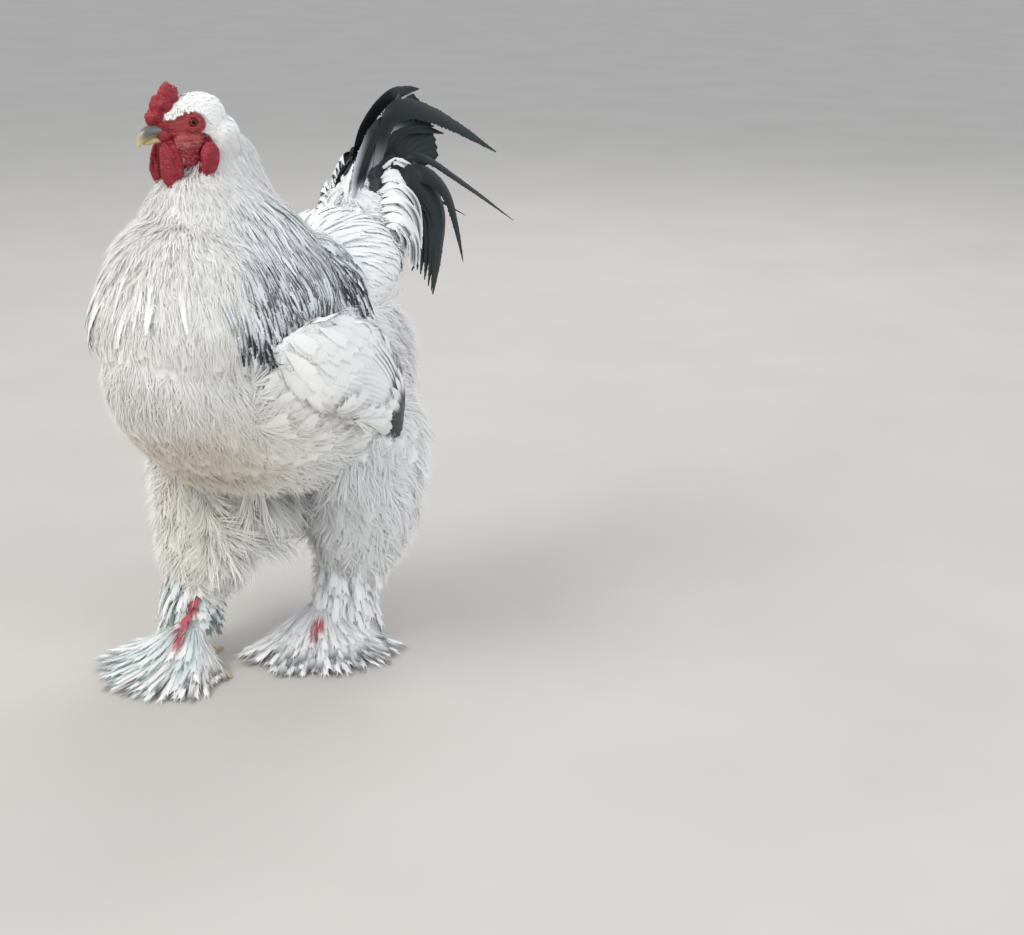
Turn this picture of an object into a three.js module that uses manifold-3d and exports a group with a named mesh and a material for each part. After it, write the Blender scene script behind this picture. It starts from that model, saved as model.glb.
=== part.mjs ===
// A standing Brahma cock at life size, in millimetres: +Z up, facing -Y, its left side on +X.
// Its feet stand on z = 0, and the origin is under the middle of its bounding box.
import * as THREE from "three";
import { mergeVertices } from "three/addons/utils/BufferGeometryUtils.js";
import Module from "manifold-3d";

const wasm = await Module();
wasm.setup();

// Driving dimensions
const GAP = 0.35; // between pieces that touch
const GRID = 1 / 64; // corners lie on a grid this fine
const HEAD = { at: [-6, -86, 669], yaw: -24, scale: 0.9 };
const EYE = { at: [21, 0, 4], radius: 8 };
const FOOT = { right: [-56, -62], left: [40, 82], toeIn: { "-1": 26, 1: 14 } };
const HOCK = { height: 150, behind: 38 };
const COAT = { body: 5, saddle: 12, cape: 13, thigh: 10 }; // from the core to the feathers' tips

// A side is -1 on the right and 1 on the left.
const SIDES = [["right", -1], ["left", 1]];

const V = (x, y, z) => new THREE.Vector3(x, y, z);
const rad = THREE.MathUtils.degToRad;

// A closed geometry as a solid. grow moves its faces outwards.
function solid(geometry, grow = 0) {
  const bare = new THREE.BufferGeometry();
  bare.setAttribute("position", geometry.getAttribute("position"));
  bare.setIndex(geometry.index);
  const merged = mergeVertices(bare, 1e-4);
  const position = merged.getAttribute("position");
  if (grow !== 0) moveOut(merged, grow);
  const index = merged.index.array;
  const kept = [];
  for (let i = 0; i < index.length; i += 3) {
    const [a, b, c] = [index[i], index[i + 1], index[i + 2]];
    if (a !== b && b !== c && c !== a) kept.push(a, b, c);
  }
  return new wasm.Manifold(
    new wasm.Mesh({
      numProp: 3,
      vertProperties: new Float32Array(position.array),
      triVerts: new Uint32Array(kept),
    }),
  );
}

// Each corner goes along its mean normal, far enough that each face at it moves by the distance.
function moveOut(geometry, distance) {
  const position = geometry.getAttribute("position");
  const index = geometry.index.array;
  const corner = (i) => V().fromBufferAttribute(position, i);
  const faces = Array.from({ length: position.count }, () => []);
  for (let i = 0; i < index.length; i += 3) {
    const [a, b, c] = [index[i], index[i + 1], index[i + 2]];
    const normal = corner(b).sub(corner(a)).cross(corner(c).sub(corner(a)));
    if (normal.length() < 1e-9) continue;
    normal.normalize();
    for (const k of [a, b, c]) faces[k].push(normal);
  }
  const moved = faces.map((normals, i) => {
    const mean = normals.reduce((sum, n) => sum.add(n), V(0, 0, 0)).normalize();
    const least = Math.max(0.3, Math.min(...normals.map((n) => n.dot(mean))));
    return corner(i).addScaledVector(mean, distance / least);
  });
  moved.forEach((p, i) => position.setXYZ(i, ...p));
}

// The largest closed surface of a solid: loose scraps and sealed hollows go.
function largest(made) {
  return made.decompose().sort((a, b) => b.volume() - a.volume())[0];
}

// A solid as a geometry.
function geometryOf(made) {
  const mesh = made.getMesh();
  const geometry = new THREE.BufferGeometry();
  geometry.setAttribute("position", new THREE.BufferAttribute(mesh.vertProperties, 3));
  geometry.setIndex(new THREE.BufferAttribute(mesh.triVerts, 1));
  geometry.computeVertexNormals();
  return geometry;
}

// The largest closed surface with its corners on the grid, so that no edge is shorter than that.
function snapped(made) {
  const geometry = geometryOf(largest(made));
  const position = geometry.getAttribute("position");
  position.array.forEach((value, i) => (position.array[i] = Math.round(value / GRID) * GRID));
  let piece = largest(solid(geometry));
  for (let again = solid(geometryOf(piece)); again.decompose().length > 1; ) {
    piece = largest(again);
    again = solid(geometryOf(piece));
  }
  return piece;
}

const join = (...solids) => wasm.Manifold.union(solids.flat());

// A smooth line through numbers or points, read at t from 0 to 1.
function through(points) {
  const curve = new THREE.CatmullRomCurve3(points.map((p) => V(p[0], p[1] ?? 0, p[2] ?? 0)));
  curve.curveType = "catmullrom";
  return curve;
}

// A closed form round a spine. size gives each station's half width and half height.
// Its wall is where the feathers' tips reach, and its core lies under that by inset.
function form({ spine, size, across = [1, 0, 0], blunt = 4, around = 24, along = 16, inset = 0 }) {
  const path = through(spine);
  const sizes = through(size);
  const sideways = V(...across);
  const point = (t, angle, lift, end) => {
    const tangent = path.getTangent(t);
    const up = V().crossVectors(sideways, tangent).normalize();
    const side = V().crossVectors(tangent, up).normalize();
    const half = sizes.getPoint(t);
    const p = path.getPoint(t).addScaledVector(side, Math.cos(angle) * (half.x * end + lift));
    return p.addScaledVector(up, Math.sin(angle) * (half.y * end + lift));
  };
  const close = (t) => Math.sqrt(Math.max(0, 1 - Math.abs(2 * t - 1) ** blunt));
  const wall = (t, angle, lift) => point(t, angle, lift, 1);
  const geometry = new THREE.SphereGeometry(1, around, along);
  const position = geometry.getAttribute("position");
  for (let row = 0; row <= along; row++) {
    const t = (1 - Math.cos((Math.PI * row) / along)) / 2;
    for (let column = 0; column <= around; column++) {
      const angle = (2 * Math.PI * (column % around)) / around;
      const p = row % along ? point(t, angle, -inset, close(t)) : path.getPoint(t);
      position.setXYZ(row * (around + 1) + column, ...p);
    }
  }
  return { wall, made: (grow = 0) => solid(geometry, grow) };
}

// A random draw that repeats: the same seed gives the same numbers.
function dice(seed) {
  let state = seed;
  return (low, high) => {
    state = (state * 1664525 + 1013904223) % 4294967296;
    return low + ((high - low) * state) / 4294967296;
  };
}

// How a vane's width runs from its root to its tip
const SHAPES = {
  pointed: [0.35, 0.88, 1, 0.78, 0.14],
  rounded: [0.28, 0.8, 1, 0.95, 0.38],
  sickle: [0.6, 0.9, 1, 0.85, 0.16],
};

// A feather or lock as a thin closed vane along a path, its flat side towards face.
// The same diagonals split both of its sides.
function vane({ path, face, wide, thick = 1.8, shape = "pointed", segments = 4, roof = 0, grow = 0 }) {
  const line = through(path);
  const widths = SHAPES[shape];
  const rows = [];
  for (let k = 0; k <= segments; k++) {
    const t = k / segments;
    const tangent = line.getTangent(t);
    const normal = face.clone().addScaledVector(tangent, -face.dot(tangent)).normalize();
    const side = V().crossVectors(tangent, normal);
    const place = t * (widths.length - 1);
    const before = Math.min(widths.length - 2, Math.floor(place));
    const w = wide * THREE.MathUtils.lerp(widths[before], widths[before + 1], place - before);
    const h = thick * THREE.MathUtils.lerp(0.5, 0.3, t);
    const at = (a, b) => line.getPoint(t).addScaledVector(side, a).addScaledVector(normal, b);
    const ridge = roof * w;
    rows.push(
      roof > 0
        ? [at(-w, h - ridge), at(0, h), at(w, h - ridge), at(w, -h - ridge), at(0, -h), at(-w, -h - ridge)]
        : [at(-w, h), at(w, h), at(w, -h), at(-w, -h)],
    );
  }
  const ring = rows[0].length;
  const index = [];
  for (let row = 0; row < segments; row++) {
    for (let j = 0; j < ring; j++) {
      const a = row * ring + j;
      const b = row * ring + ((j + 1) % ring);
      const [c, d] = [b + ring, a + ring];
      if (j < ring / 2) index.push(a, b, c, a, c, d);
      else index.push(a, b, d, b, c, d);
    }
  }
  for (let j = 1; j < ring - 1; j++) {
    index.push(0, j + 1, j);
    index.push(segments * ring, segments * ring + j, segments * ring + j + 1);
  }
  const geometry = new THREE.BufferGeometry();
  const corners = rows.flat().flatMap((p) => p.toArray());
  geometry.setAttribute("position", new THREE.Float32BufferAttribute(corners, 3));
  geometry.setIndex(index);
  return solid(geometry, grow);
}

// A vane that lies over a form: from [t, angle] to [t, angle], sunk at its root and lifted to its tip.
function over(base, from, to, { sink = 6, lift = 8, roll = 0, ...rest }) {
  const { lerp } = THREE.MathUtils;
  const path = [0, 0.33, 0.67, 1].map((u) => {
    const raise = -sink + (sink + lift) * u ** 0.55;
    return base.wall(lerp(from[0], to[0], u), lerp(from[1], to[1], u), raise).toArray();
  });
  const middle = [(from[0] + to[0]) / 2, (from[1] + to[1]) / 2];
  const face = base.wall(...middle, 1).sub(base.wall(...middle, 0)).normalize();
  const lie = V(...path[3]).sub(V(...path[0])).normalize();
  return vane({ path, face: face.applyAxisAngle(lie, roll), ...rest });
}

// Torso, with the saddle over its back and the fluff at its rear
const body = form({
  spine: [[0, -208, 420], [0, -160, 402], [0, -80, 374], [0, 0, 356], [0, 90, 348], [0, 170, 332], [0, 250, 318]],
  size: [[50, 44], [104, 86], [136, 122], [142, 142], [138, 150], [124, 136], [84, 84]],
  blunt: 3,
  around: 26,
  along: 14,
  inset: COAT.body,
});
const saddle = form({
  spine: [[0, -60, 410], [0, 40, 436], [0, 120, 458], [0, 190, 482], [0, 246, 515]],
  size: [[96, 50], [116, 64], [114, 76], [100, 74], [64, 46]],
  blunt: 4,
  around: 14,
  along: 8,
  inset: COAT.saddle,
});

// Saddle feathers hang from the middle of the back to both sides, each tier under the one above it.
const SADDLE = { wide: 16, tiers: [0.5, 0.68, 0.86], from: [14, 46], reach: 50, back: 0.16 };
function saddleFeathers(grow) {
  const draw = dice(11);
  return SIDES.flatMap(([, s]) =>
    SADDLE.from.flatMap((start, ring) =>
      SADDLE.tiers.map((t) => {
        const root = rad(90 - s * (start + draw(-4, 4)));
        const tip = rad(90 - s * (start + SADDLE.reach + draw(-5, 5)));
        const back = Math.min(1, t + SADDLE.back + draw(-0.02, 0.03));
        const rest = { sink: 16, lift: ring === 0 ? 2 : -1, roll: 0.12, wide: SADDLE.wide, segments: 3, grow };
        return over(saddle, [t - 0.04 * ring, root], [back, tip], rest);
      }),
    ),
  );
}

// Fluff at the rear and under the belly: broad locks that point back and down
const FLUFF = { wide: 28, tiers: [0.66, 0.82], step: 40, long: 0.18 };
function fluff(grow) {
  const draw = dice(23);
  return FLUFF.tiers.flatMap((t, tier) => {
    const angles = [];
    for (let a = -150; a <= -30; a += FLUFF.step) angles.push(a + (tier % 2) * 12);
    return angles.map((a) => {
      const tip = Math.min(1, t + FLUFF.long + draw(0, 0.03));
      const rest = { sink: 14, lift: 1, wide: FLUFF.wide, thick: 5, shape: "rounded", segments: 3, grow };
      return over(body, [t, rad(a + draw(-4, 4))], [tip, rad(a + draw(-4, 4))], rest);
    });
  });
}
const torso = (grow = 0) =>
  join(body.made(grow), saddle.made(grow), saddleFeathers(grow), fluff(grow));

// Neck with the cape that falls from it over the shoulders
const cape = form({
  spine: [[5, -61, 655], [4, -47, 616], [1, -50, 570], [0, -46, 520], [0, -42, 470], [0, -44, 420]],
  size: [[24, 33], [42, 65], [84, 96], [116, 128], [138, 150], [136, 144]],
  blunt: 10,
  around: 18,
  along: 9,
  inset: COAT.cape,
});

// Hackles: each tier has its place down the cape, its length, its count and its width.
const HACKLES = [
  { from: 0.12, long: 0.32, count: 6, wide: 18 },
  { from: 0.32, long: 0.36, count: 8, wide: 22 },
  { from: 0.56, long: 0.42, count: 14, wide: 23 },
];
function hackles(grow) {
  const draw = dice(5);
  return HACKLES.flatMap(({ from, long, count, wide }, tier) =>
    Array.from({ length: count }, (_, i) => {
      const angle = (2 * Math.PI * (i + 0.5 * (tier % 2))) / count + draw(-0.03, 0.03);
      const tip = Math.min(1, from + long + draw(-0.03, 0.02));
      const rest = { sink: COAT.cape + 5, lift: 1, roll: 0.16, wide, segments: 3, grow };
      return over(cape, [from, angle], [tip, angle + draw(-0.03, 0.03)], rest);
    }),
  );
}

// A point over a foot, from how far it lies forward and outward of the ankle
const ankle = (s) => (s < 0 ? FOOT.right : FOOT.left);
const onFoot = (s, forward, outward, z) => {
  const turn = -s * rad(FOOT.toeIn[s]);
  const p = V(s * outward, -forward, 0).applyAxisAngle(V(0, 0, 1), turn);
  return [p.x + ankle(s)[0], p.y + ankle(s)[1], z];
};

// Thighs and shanks
const thigh = (s) => {
  const [x, y] = ankle(s);
  const hock = [x + s * 6, y + HOCK.behind];
  return form({
    spine: [
      [s * 66, y * 0.5 + 50, 330],
      [s * 74, y * 0.7 + 60, 262],
      [s * 72, y * 0.85 + 54, 180],
      [...hock, 84],
    ],
    size: [[60, 70], [70, 94], [64, 80], [52, 56]],
    blunt: 8,
    around: 14,
    along: 8,
    inset: COAT.thigh,
  });
};

// Locks of fluff round a thigh, in tiers down to the hock
const THIGH_LOCKS = [
  { from: 0.34, long: 0.34, count: 4 },
  { from: 0.62, long: 0.37, count: 5 },
];
function thighLocks(s, base, grow) {
  const draw = dice(31 + s);
  return THIGH_LOCKS.flatMap(({ from, long, count }, tier) =>
    Array.from({ length: count }, (_, i) => {
      const angle = (2 * Math.PI * (i + 0.5 * (tier % 2))) / count;
      const tip = Math.min(1, from + long + draw(-0.02, 0.04));
      const rest = { sink: COAT.thigh + 5, lift: draw(0, 3), roll: 0.1, wide: 38, thick: 5, grow };
      return over(base, [from, angle], [tip, angle], { ...rest, shape: "rounded", segments: 3 });
    }),
  );
}
const shank = (s) => {
  const [x, y] = ankle(s);
  return form({
    spine: [[x, y + 42, 190], [x, y + HOCK.behind, HOCK.height], [x, y + 16, 80], [x, y + 2, 20]],
    size: [[15, 15], [15, 16], [12, 13], [15, 16]],
    blunt: 8,
    around: 14,
    along: 10,
  });
};

// Toes: number, angle outwards from the middle toe, length, radius
const TOES = [
  [1, -150, 34, 6],
  [2, -50, 58, 7],
  [3, 0, 78, 7.5],
  [4, 48, 66, 7],
];
const CLAW = { length: 17, radius: 4 };
const along = (s, angle, reach, z) =>
  onFoot(s, reach * Math.cos(rad(angle)), reach * Math.sin(rad(angle)), z);
const toe = (s, angle, length, radius) =>
  form({
    spine: [
      along(s, angle, 0, 20),
      along(s, angle, length * 0.35, 12),
      along(s, angle, length * 0.7, radius * 0.75),
      along(s, angle, length, radius * 0.7),
    ],
    size: [[radius * 1.3, radius * 1.5], [radius, radius], [radius, radius], [radius * 0.85, radius * 0.85]],
    blunt: 8,
    around: 8,
    along: 5,
  });
const claw = (s, angle, length, radius) =>
  form({
    spine: [
      along(s, angle, length - 4, radius * 0.75),
      along(s, angle, length + CLAW.length * 0.5, radius * 0.8),
      along(s, angle, length + CLAW.length, 1.2),
    ],
    size: [[CLAW.radius, CLAW.radius], [CLAW.radius * 0.7, CLAW.radius * 0.75], [0.8, 0.8]],
    blunt: 12,
    around: 7,
    along: 5,
  });

// Feathers on the outer side of a shank, pointing out and down
function shankFeathers(s, grow) {
  const draw = dice(41 + s);
  const [x, y] = ankle(s);
  return [116, 72].flatMap((z, row) =>
    [-50, -5, 40].map((turn) => {
      const out = rad(turn + draw(-8, 8));
      const [dx, dy] = [s * Math.cos(out), -Math.sin(out)];
      const back = (HOCK.behind * (z - 20)) / (HOCK.height - 20);
      const reach = (r, drop) => [x + dx * r, y + back + dy * r, z - drop];
      const path = [reach(6, -2), reach(24, 2), reach(44, 14), reach(56 + draw(-4, 6), 34 + 2 * row)];
      const face = V(dx * 0.5, dy * 0.5, 0.8);
      return vane({ path, face, wide: 14, thick: 1.8, shape: "rounded", segments: 3, grow });
    }),
  );
}

// The instep, where the toes and the feathers over them start
const instep = (s) =>
  form({
    spine: [onFoot(s, -26, 2, 14), onFoot(s, -6, 4, 19), onFoot(s, 18, 7, 18), onFoot(s, 40, 10, 12)],
    size: [[16, 12], [26, 18], [28, 16], [18, 9]],
    blunt: 4,
    around: 12,
    along: 6,
  });

// The fan of feathers on the outer side of a foot
const FAN = { from: -20, to: 112, upper: 4, lower: 6 };
function fan(s, grow) {
  const draw = dice(53 + s);
  const feather = (angle, root, long, high, low) => {
    const turned = angle + draw(-4, 4);
    const length = long + draw(-8, 8);
    const path = [
      along(s, turned, root, high),
      along(s, turned + 2, root + length * 0.33, high + 3),
      along(s, turned + 4, root + length * 0.7, (high + low) / 2),
      along(s, turned + 6, root + length, low),
    ];
    return vane({ path, face: V(0, 0, 1), wide: 14, thick: 1.8, shape: "rounded", segments: 3, grow });
  };
  const spread = (count, make) =>
    Array.from({ length: count }, (_, i) => make(FAN.from + ((FAN.to - FAN.from) * i) / (count - 1), i));
  const bow = (angle) => Math.cos(rad(angle - 20));
  return [
    spread(FAN.lower, (a, i) => feather(a, 22, 86 + 26 * bow(a), 14, 3.4 + (i % 2) * 2.2)),
    spread(FAN.upper, (a, i) => feather(a + 6, 16, 66 + 22 * bow(a), 26, 13 + (i % 2) * 2.4)),
  ].flat();
}

// The floor, as a block under z = 0: what goes below it is cut to flats.
const under = solid(new THREE.BoxGeometry(2000, 2000, 100).translate(0, 0, -50));

// Wings, folded to the sides
const wing = (s) =>
  form({
    spine: [
      [s * 112, -120, 424],
      [s * 148, -60, 414],
      [s * 155, 10, 384],
      [s * 146, 68, 340],
      [s * 124, 108, 284],
    ],
    size: [[12, 24], [14, 56], [15, 62], [12, 46], [6, 12]],
    blunt: 5,
    around: 12,
    along: 8,
    inset: 4,
  });

// Rows of wing feathers, the last of them the quills that run to the tip
const WING_ROWS = [
  { from: 0.14, long: 0.32, count: 3, wide: 19, spread: 40 },
  { from: 0.34, long: 0.3, count: 3, wide: 19, spread: 42 },
  { from: 0.46, long: 0.46, count: 4, wide: 14, spread: 50 },
];
function wingFeathers(s, base, grow) {
  const draw = dice(61 + s);
  const outer = s > 0 ? 0 : Math.PI;
  return WING_ROWS.flatMap(({ from, long, count, wide, spread }) =>
    Array.from({ length: count }, (_, i) => {
      const angle = outer + s * rad(-spread + (2 * spread * i) / (count - 1));
      const tip = Math.min(0.98, from + long + draw(-0.03, 0.03));
      const rest = { sink: 8, lift: 3, roll: -s * 0.14, wide, shape: "rounded", segments: 3, grow };
      return over(base, [from, angle], [tip, outer + (angle - outer) * 0.8], rest);
    }),
  );
}

// Tail: its root, then feathers as [root, bend, bend, tip], mirrored to the right where it has no own line
const TAIL_ROOT = form({
  spine: [[0, 205, 508], [0, 240, 540], [0, 275, 566], [0, 300, 584]],
  size: [[34, 34], [38, 46], [30, 42], [16, 22]],
  blunt: 4,
  around: 16,
  along: 8,
});
const TAIL = {
  quills: { count: 5, long: [152, 96], wide: 16, rise: [51, 2], lean: [3, 20] },
  sickles: [
    {
      path: [[20, 232, 560], [36, 254, 645], [42, 338, 637], [46, 478, 573]],
      right: [[-12, 226, 556], [-16, 256, 622], [-18, 318, 659], [-20, 392, 662]],
      wide: 12,
    },
    { path: [[26, 250, 556], [50, 278, 592], [56, 360, 556], [40, 532, 471]], wide: 8 },
    { path: [[28, 244, 548], [60, 276, 572], [72, 322, 536], [74, 352, 446]], wide: 13 },
  ],
  coverts: { count: 3, wide: 19 },
};
function tailFeathers(grow) {
  const { lerp } = THREE.MathUtils;
  const made = [];
  for (const [, s] of SIDES) {
    const { count, long, wide, rise, lean } = TAIL.quills;
    for (let i = 0; i < count; i++) {
      const k = i / (count - 1);
      const up = rad(lerp(...rise, k));
      const out = rad(lerp(...lean, k));
      const far = lerp(...long, k);
      const reach = (r, sag) => [
        s * (5 + r * Math.sin(out)),
        244 + r * Math.cos(up) * Math.cos(out),
        552 + r * Math.sin(up) - sag,
      ];
      const path = [reach(20, 0), reach(far * 0.4, 0), reach(far * 0.75, 3), reach(far, 10)];
      const face = V(s * Math.cos(out), 0, 0.35);
      made.push(vane({ path, face, wide, thick: 2, shape: "rounded", segments: 3, grow }));
    }
    for (const { path, right, wide: w } of TAIL.sickles) {
      const line = s < 0 && right ? right : path.map(([x, y, z]) => [s * x, y, z]);
      const face = V(s, 0, 0.3);
      made.push(vane({ path: line, face, wide: w, thick: 2, shape: "sickle", segments: 7, grow }));
    }
    const coverts = TAIL.coverts;
    for (let i = 0; i < coverts.count; i++) {
      const k = i / (coverts.count - 1);
      const path = [
        [s * lerp(24, 30, k), lerp(246, 222, k), lerp(552, 508, k)],
        [s * lerp(66, 74, k), lerp(262, 250, k), lerp(572, 520, k)],
        [s * lerp(88, 92, k), lerp(298, 276, k), lerp(536, 480, k)],
        [s * lerp(92, 96, k), lerp(316, 270, k), lerp(470, 408, k)],
      ];
      const face = V(s, 0.2, 0.5);
      made.push(vane({ path, face, wide: coverts.wide, thick: 2, shape: "rounded", segments: 4, grow }));
    }
  }
  return made;
}
const tail = (grow = 0) => join(TAIL_ROOT.made(grow), tailFeathers(grow));

// Head, in its own frame: its middle between the eyes, facing -Y
const skull = form({
  spine: [[0, -42, -6], [0, -26, 2], [0, 0, 4], [0, 26, 2], [0, 46, -10]],
  size: [[14, 14], [22, 25], [27, 32], [28, 34], [20, 26]],
  blunt: 4,
  around: 16,
  along: 9,
});
const jaw = form({
  spine: [[0, -40, -16], [0, -22, -28], [0, 4, -38], [0, 24, -44]],
  size: [[10, 8], [18, 18], [25, 24], [24, 20]],
  blunt: 4,
  around: 12,
  along: 6,
});
const beakUpper = form({
  spine: [[0, -34, -5], [0, -46, -6], [0, -57, -12], [0, -65, -25]],
  size: [[12, 8], [10, 8], [7, 7], [1.6, 1.8]],
  blunt: 10,
  around: 12,
  along: 8,
});
const beakLower = form({
  spine: [[0, -34, -18], [0, -44, -19], [0, -52, -22], [0, -58, -24]],
  size: [[9, 5], [8, 4.5], [5, 3.5], [2, 1.2]],
  blunt: 10,
  around: 12,
  along: 7,
});
// Each lump of the comb: its middle, its radius and its stretch
const LUMPS = [
  [[0, -22, 36], 14, [0.8, 1, 1.05]],
  [[0, -36, 24], 11, [0.9, 1, 1.1]],
  [[0, -44, 9], 9, [1, 1, 1.2]],
  [[8, -30, 27], 9, [0.9, 1, 1.2]],
  [[-8, -30, 27], 9, [0.9, 1, 1.2]],
  [[8, -40, 13], 7, [0.9, 1, 1.2]],
  [[-8, -40, 13], 7, [0.9, 1, 1.2]],
];
const lump = ([at, radius, stretch], grow) =>
  solid(new THREE.SphereGeometry(radius, 8, 6).scale(...stretch).translate(...at), grow);
const comb = (grow = 0) => join(LUMPS.map((l) => lump(l, grow)));
const eye = (s, grow = 0) =>
  solid(new THREE.SphereGeometry(EYE.radius, 10, 7).translate(s * EYE.at[0], EYE.at[1], EYE.at[2]), grow);

// A rim round a hole: the lids round an eye and the cup of an ear
const rim = ({ at, way, radius, thick, stretch = 1 }, s, grow) => {
  const ring = new THREE.TorusGeometry(radius, thick, 5, 12).scale(1, stretch, 1);
  const turn = new THREE.Quaternion().setFromUnitVectors(V(0, 0, 1), V(s * way[0], way[1], way[2]).normalize());
  return solid(ring.applyQuaternion(turn).translate(s * at[0], at[1], at[2]), grow);
};
const LIDS = { at: [25, -1, 4], way: [1, -0.22, 0.06], radius: 8, thick: 2.2 };
const EAR = { at: [26.5, 24, -10], way: [1, 0.3, -0.05], radius: 4.5, thick: 1.8, stretch: 1.3 };
const NOSTRIL = { at: [8.6, -43, -1.5], radius: 2, stretch: [1, 1.7, 0.8] };
const nostril = (s) =>
  solid(
    new THREE.SphereGeometry(NOSTRIL.radius, 6, 4)
      .scale(...NOSTRIL.stretch)
      .translate(s * NOSTRIL.at[0], NOSTRIL.at[1], NOSTRIL.at[2]),
  );

// A wattle hangs in two folds, the smaller one behind the other.
const wattleFront = (s) =>
  form({
    spine: [[s * 8, -34, -20], [s * 15, -30, -38], [s * 17, -27, -60], [s * 14, -24, -85]],
    size: [[3, 10], [5, 16], [5.5, 17], [3, 8]],
    blunt: 4,
    around: 12,
    along: 8,
  });
const wattleFold = (s) =>
  form({
    spine: [[s * 14, -20, -36], [s * 19, -14, -50], [s * 19, -13, -66], [s * 15, -15, -78]],
    size: [[3, 7], [4.5, 9], [4.5, 8], [2.5, 4]],
    blunt: 4,
    around: 8,
    along: 6,
  });
const wattle = (s, grow = 0) => join(wattleFront(s).made(grow), wattleFold(s).made(grow));
const earlobe = (s) =>
  form({
    spine: [[s * 27, 17, -20], [s * 31, 17, -34], [s * 32, 15, -50], [s * 28, 12, -64]],
    size: [[4, 8], [6, 12], [6, 11], [4, 6]],
    blunt: 4,
    around: 10,
    along: 6,
  });

// The whole bird
const COLOURS = {
  feather: 0xe8e5dd,
  tail: 0x17191c,
  red: 0x9c1420,
  horn: 0xb39a63,
  eye: 0xa8501c,
  toe: 0xcfa878,
};
const bird = new THREE.Group();
const headGroup = new THREE.Group();
headGroup.position.set(...HEAD.at);
headGroup.rotation.set(0, 0, rad(HEAD.yaw));
headGroup.scale.setScalar(HEAD.scale);
headGroup.updateMatrixWorld(true);
bird.add(headGroup);
const placed = (made) => made.transform(headGroup.matrixWorld.elements);

function add(parent, name, made, colour, roughness) {
  const material = new THREE.MeshStandardMaterial({ color: colour, roughness, metalness: 0 });
  const mesh = new THREE.Mesh(geometryOf(snapped(made)), material);
  mesh.name = name;
  parent.add(mesh);
}

const torsoGrown = torso(GAP);
const rims = (grow) => [-1, 1].flatMap((s) => [rim(LIDS, s, grow), rim(EAR, s, grow)]);
const head = (grow = 0) => join(skull.made(grow), jaw.made(grow), rims(grow));
const redParts = (grow) => join([-1, 1].flatMap((s) => [wattle(s, grow), earlobe(s).made(grow)]));
const headGrown = placed(join(head(GAP / HEAD.scale), redParts(GAP / HEAD.scale)));
const neck = (grow = 0) => join(cape.made(grow), hackles(grow));
const neckGrown = neck(GAP);

add(bird, "torso", torso(), COLOURS.feather, 0.85);
add(bird, "neck", neck().subtract(torsoGrown).subtract(headGrown), COLOURS.feather, 0.85);
const tailGrown = tail(GAP);
add(bird, "tail", tail().subtract(torsoGrown), COLOURS.tail, 0.5);

for (const [side, s] of SIDES) {
  const thighForm = thigh(s);
  const shankForm = shank(s);
  const wingForm = wing(s);
  const each = (make, grow) => join(TOES.map(([, ...sizes]) => make(s, ...sizes).made(grow)));
  const foot = (grow = 0) => join(each(toe, grow), instep(s).made(grow), fan(s, grow));
  const thighMade = (grow = 0) => join(thighForm.made(grow), thighLocks(s, thighForm, grow));
  const wingMade = (grow = 0) => join(wingForm.made(grow), wingFeathers(s, wingForm, grow));
  const shankMade = (grow = 0) => join(shankForm.made(grow), shankFeathers(s, grow));
  const wingCut = wingMade().subtract(torsoGrown).subtract(neckGrown).subtract(tailGrown);
  add(bird, `wing_${side}`, wingCut, COLOURS.feather, 0.8);
  const thighCut = thighMade().subtract(torsoGrown).subtract(wingMade(GAP)).subtract(neckGrown);
  add(bird, `thigh_${side}`, thighCut, COLOURS.feather, 0.9);
  const shankCut = shankMade().subtract(thighMade(GAP)).subtract(foot(GAP)).subtract(under);
  add(bird, `shank_${side}`, shankCut, COLOURS.feather, 0.85);
  add(bird, `foot_${side}`, foot().subtract(each(claw, GAP)).subtract(under), COLOURS.toe, 0.8);
  for (const [number, ...sizes] of TOES) {
    add(bird, `claw_${side}_${number}`, claw(s, ...sizes).made().subtract(under), COLOURS.horn, 0.5);
  }
}

const eyesGrown = join(eye(-1, GAP), eye(1, GAP));
const upperGrown = beakUpper.made(GAP);
const lowerGrown = beakLower.made(GAP);
const skin = head(GAP);
add(headGroup, "head", head().subtract(eyesGrown), COLOURS.feather, 0.85);
add(headGroup, "comb", comb().subtract(skin).subtract(upperGrown), COLOURS.red, 0.55);
const nostrils = join(nostril(-1), nostril(1));
add(headGroup, "beak_upper", beakUpper.made().subtract(skin).subtract(nostrils), COLOURS.horn, 0.45);
add(headGroup, "beak_lower", beakLower.made().subtract(skin).subtract(upperGrown), COLOURS.horn, 0.45);
for (const [side, s] of SIDES) {
  add(headGroup, `eye_${side}`, eye(s), COLOURS.eye, 0.15);
  add(headGroup, `wattle_${side}`, wattle(s).subtract(skin).subtract(lowerGrown), COLOURS.red, 0.55);
  add(headGroup, `earlobe_${side}`, earlobe(s).made().subtract(skin), COLOURS.red, 0.55);
}

// The origin goes under the middle of the bounding box.
const box = new THREE.Box3().setFromObject(bird, true);
const middle = box.getCenter(V());
bird.position.set(-Math.round(middle.x), -Math.round(middle.y), 0);

export default bird;
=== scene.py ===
import math

import bpy
import numpy as np
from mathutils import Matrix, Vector, noise
from mathutils.bvhtree import BVHTree
from mathutils.kdtree import KDTree

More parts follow.
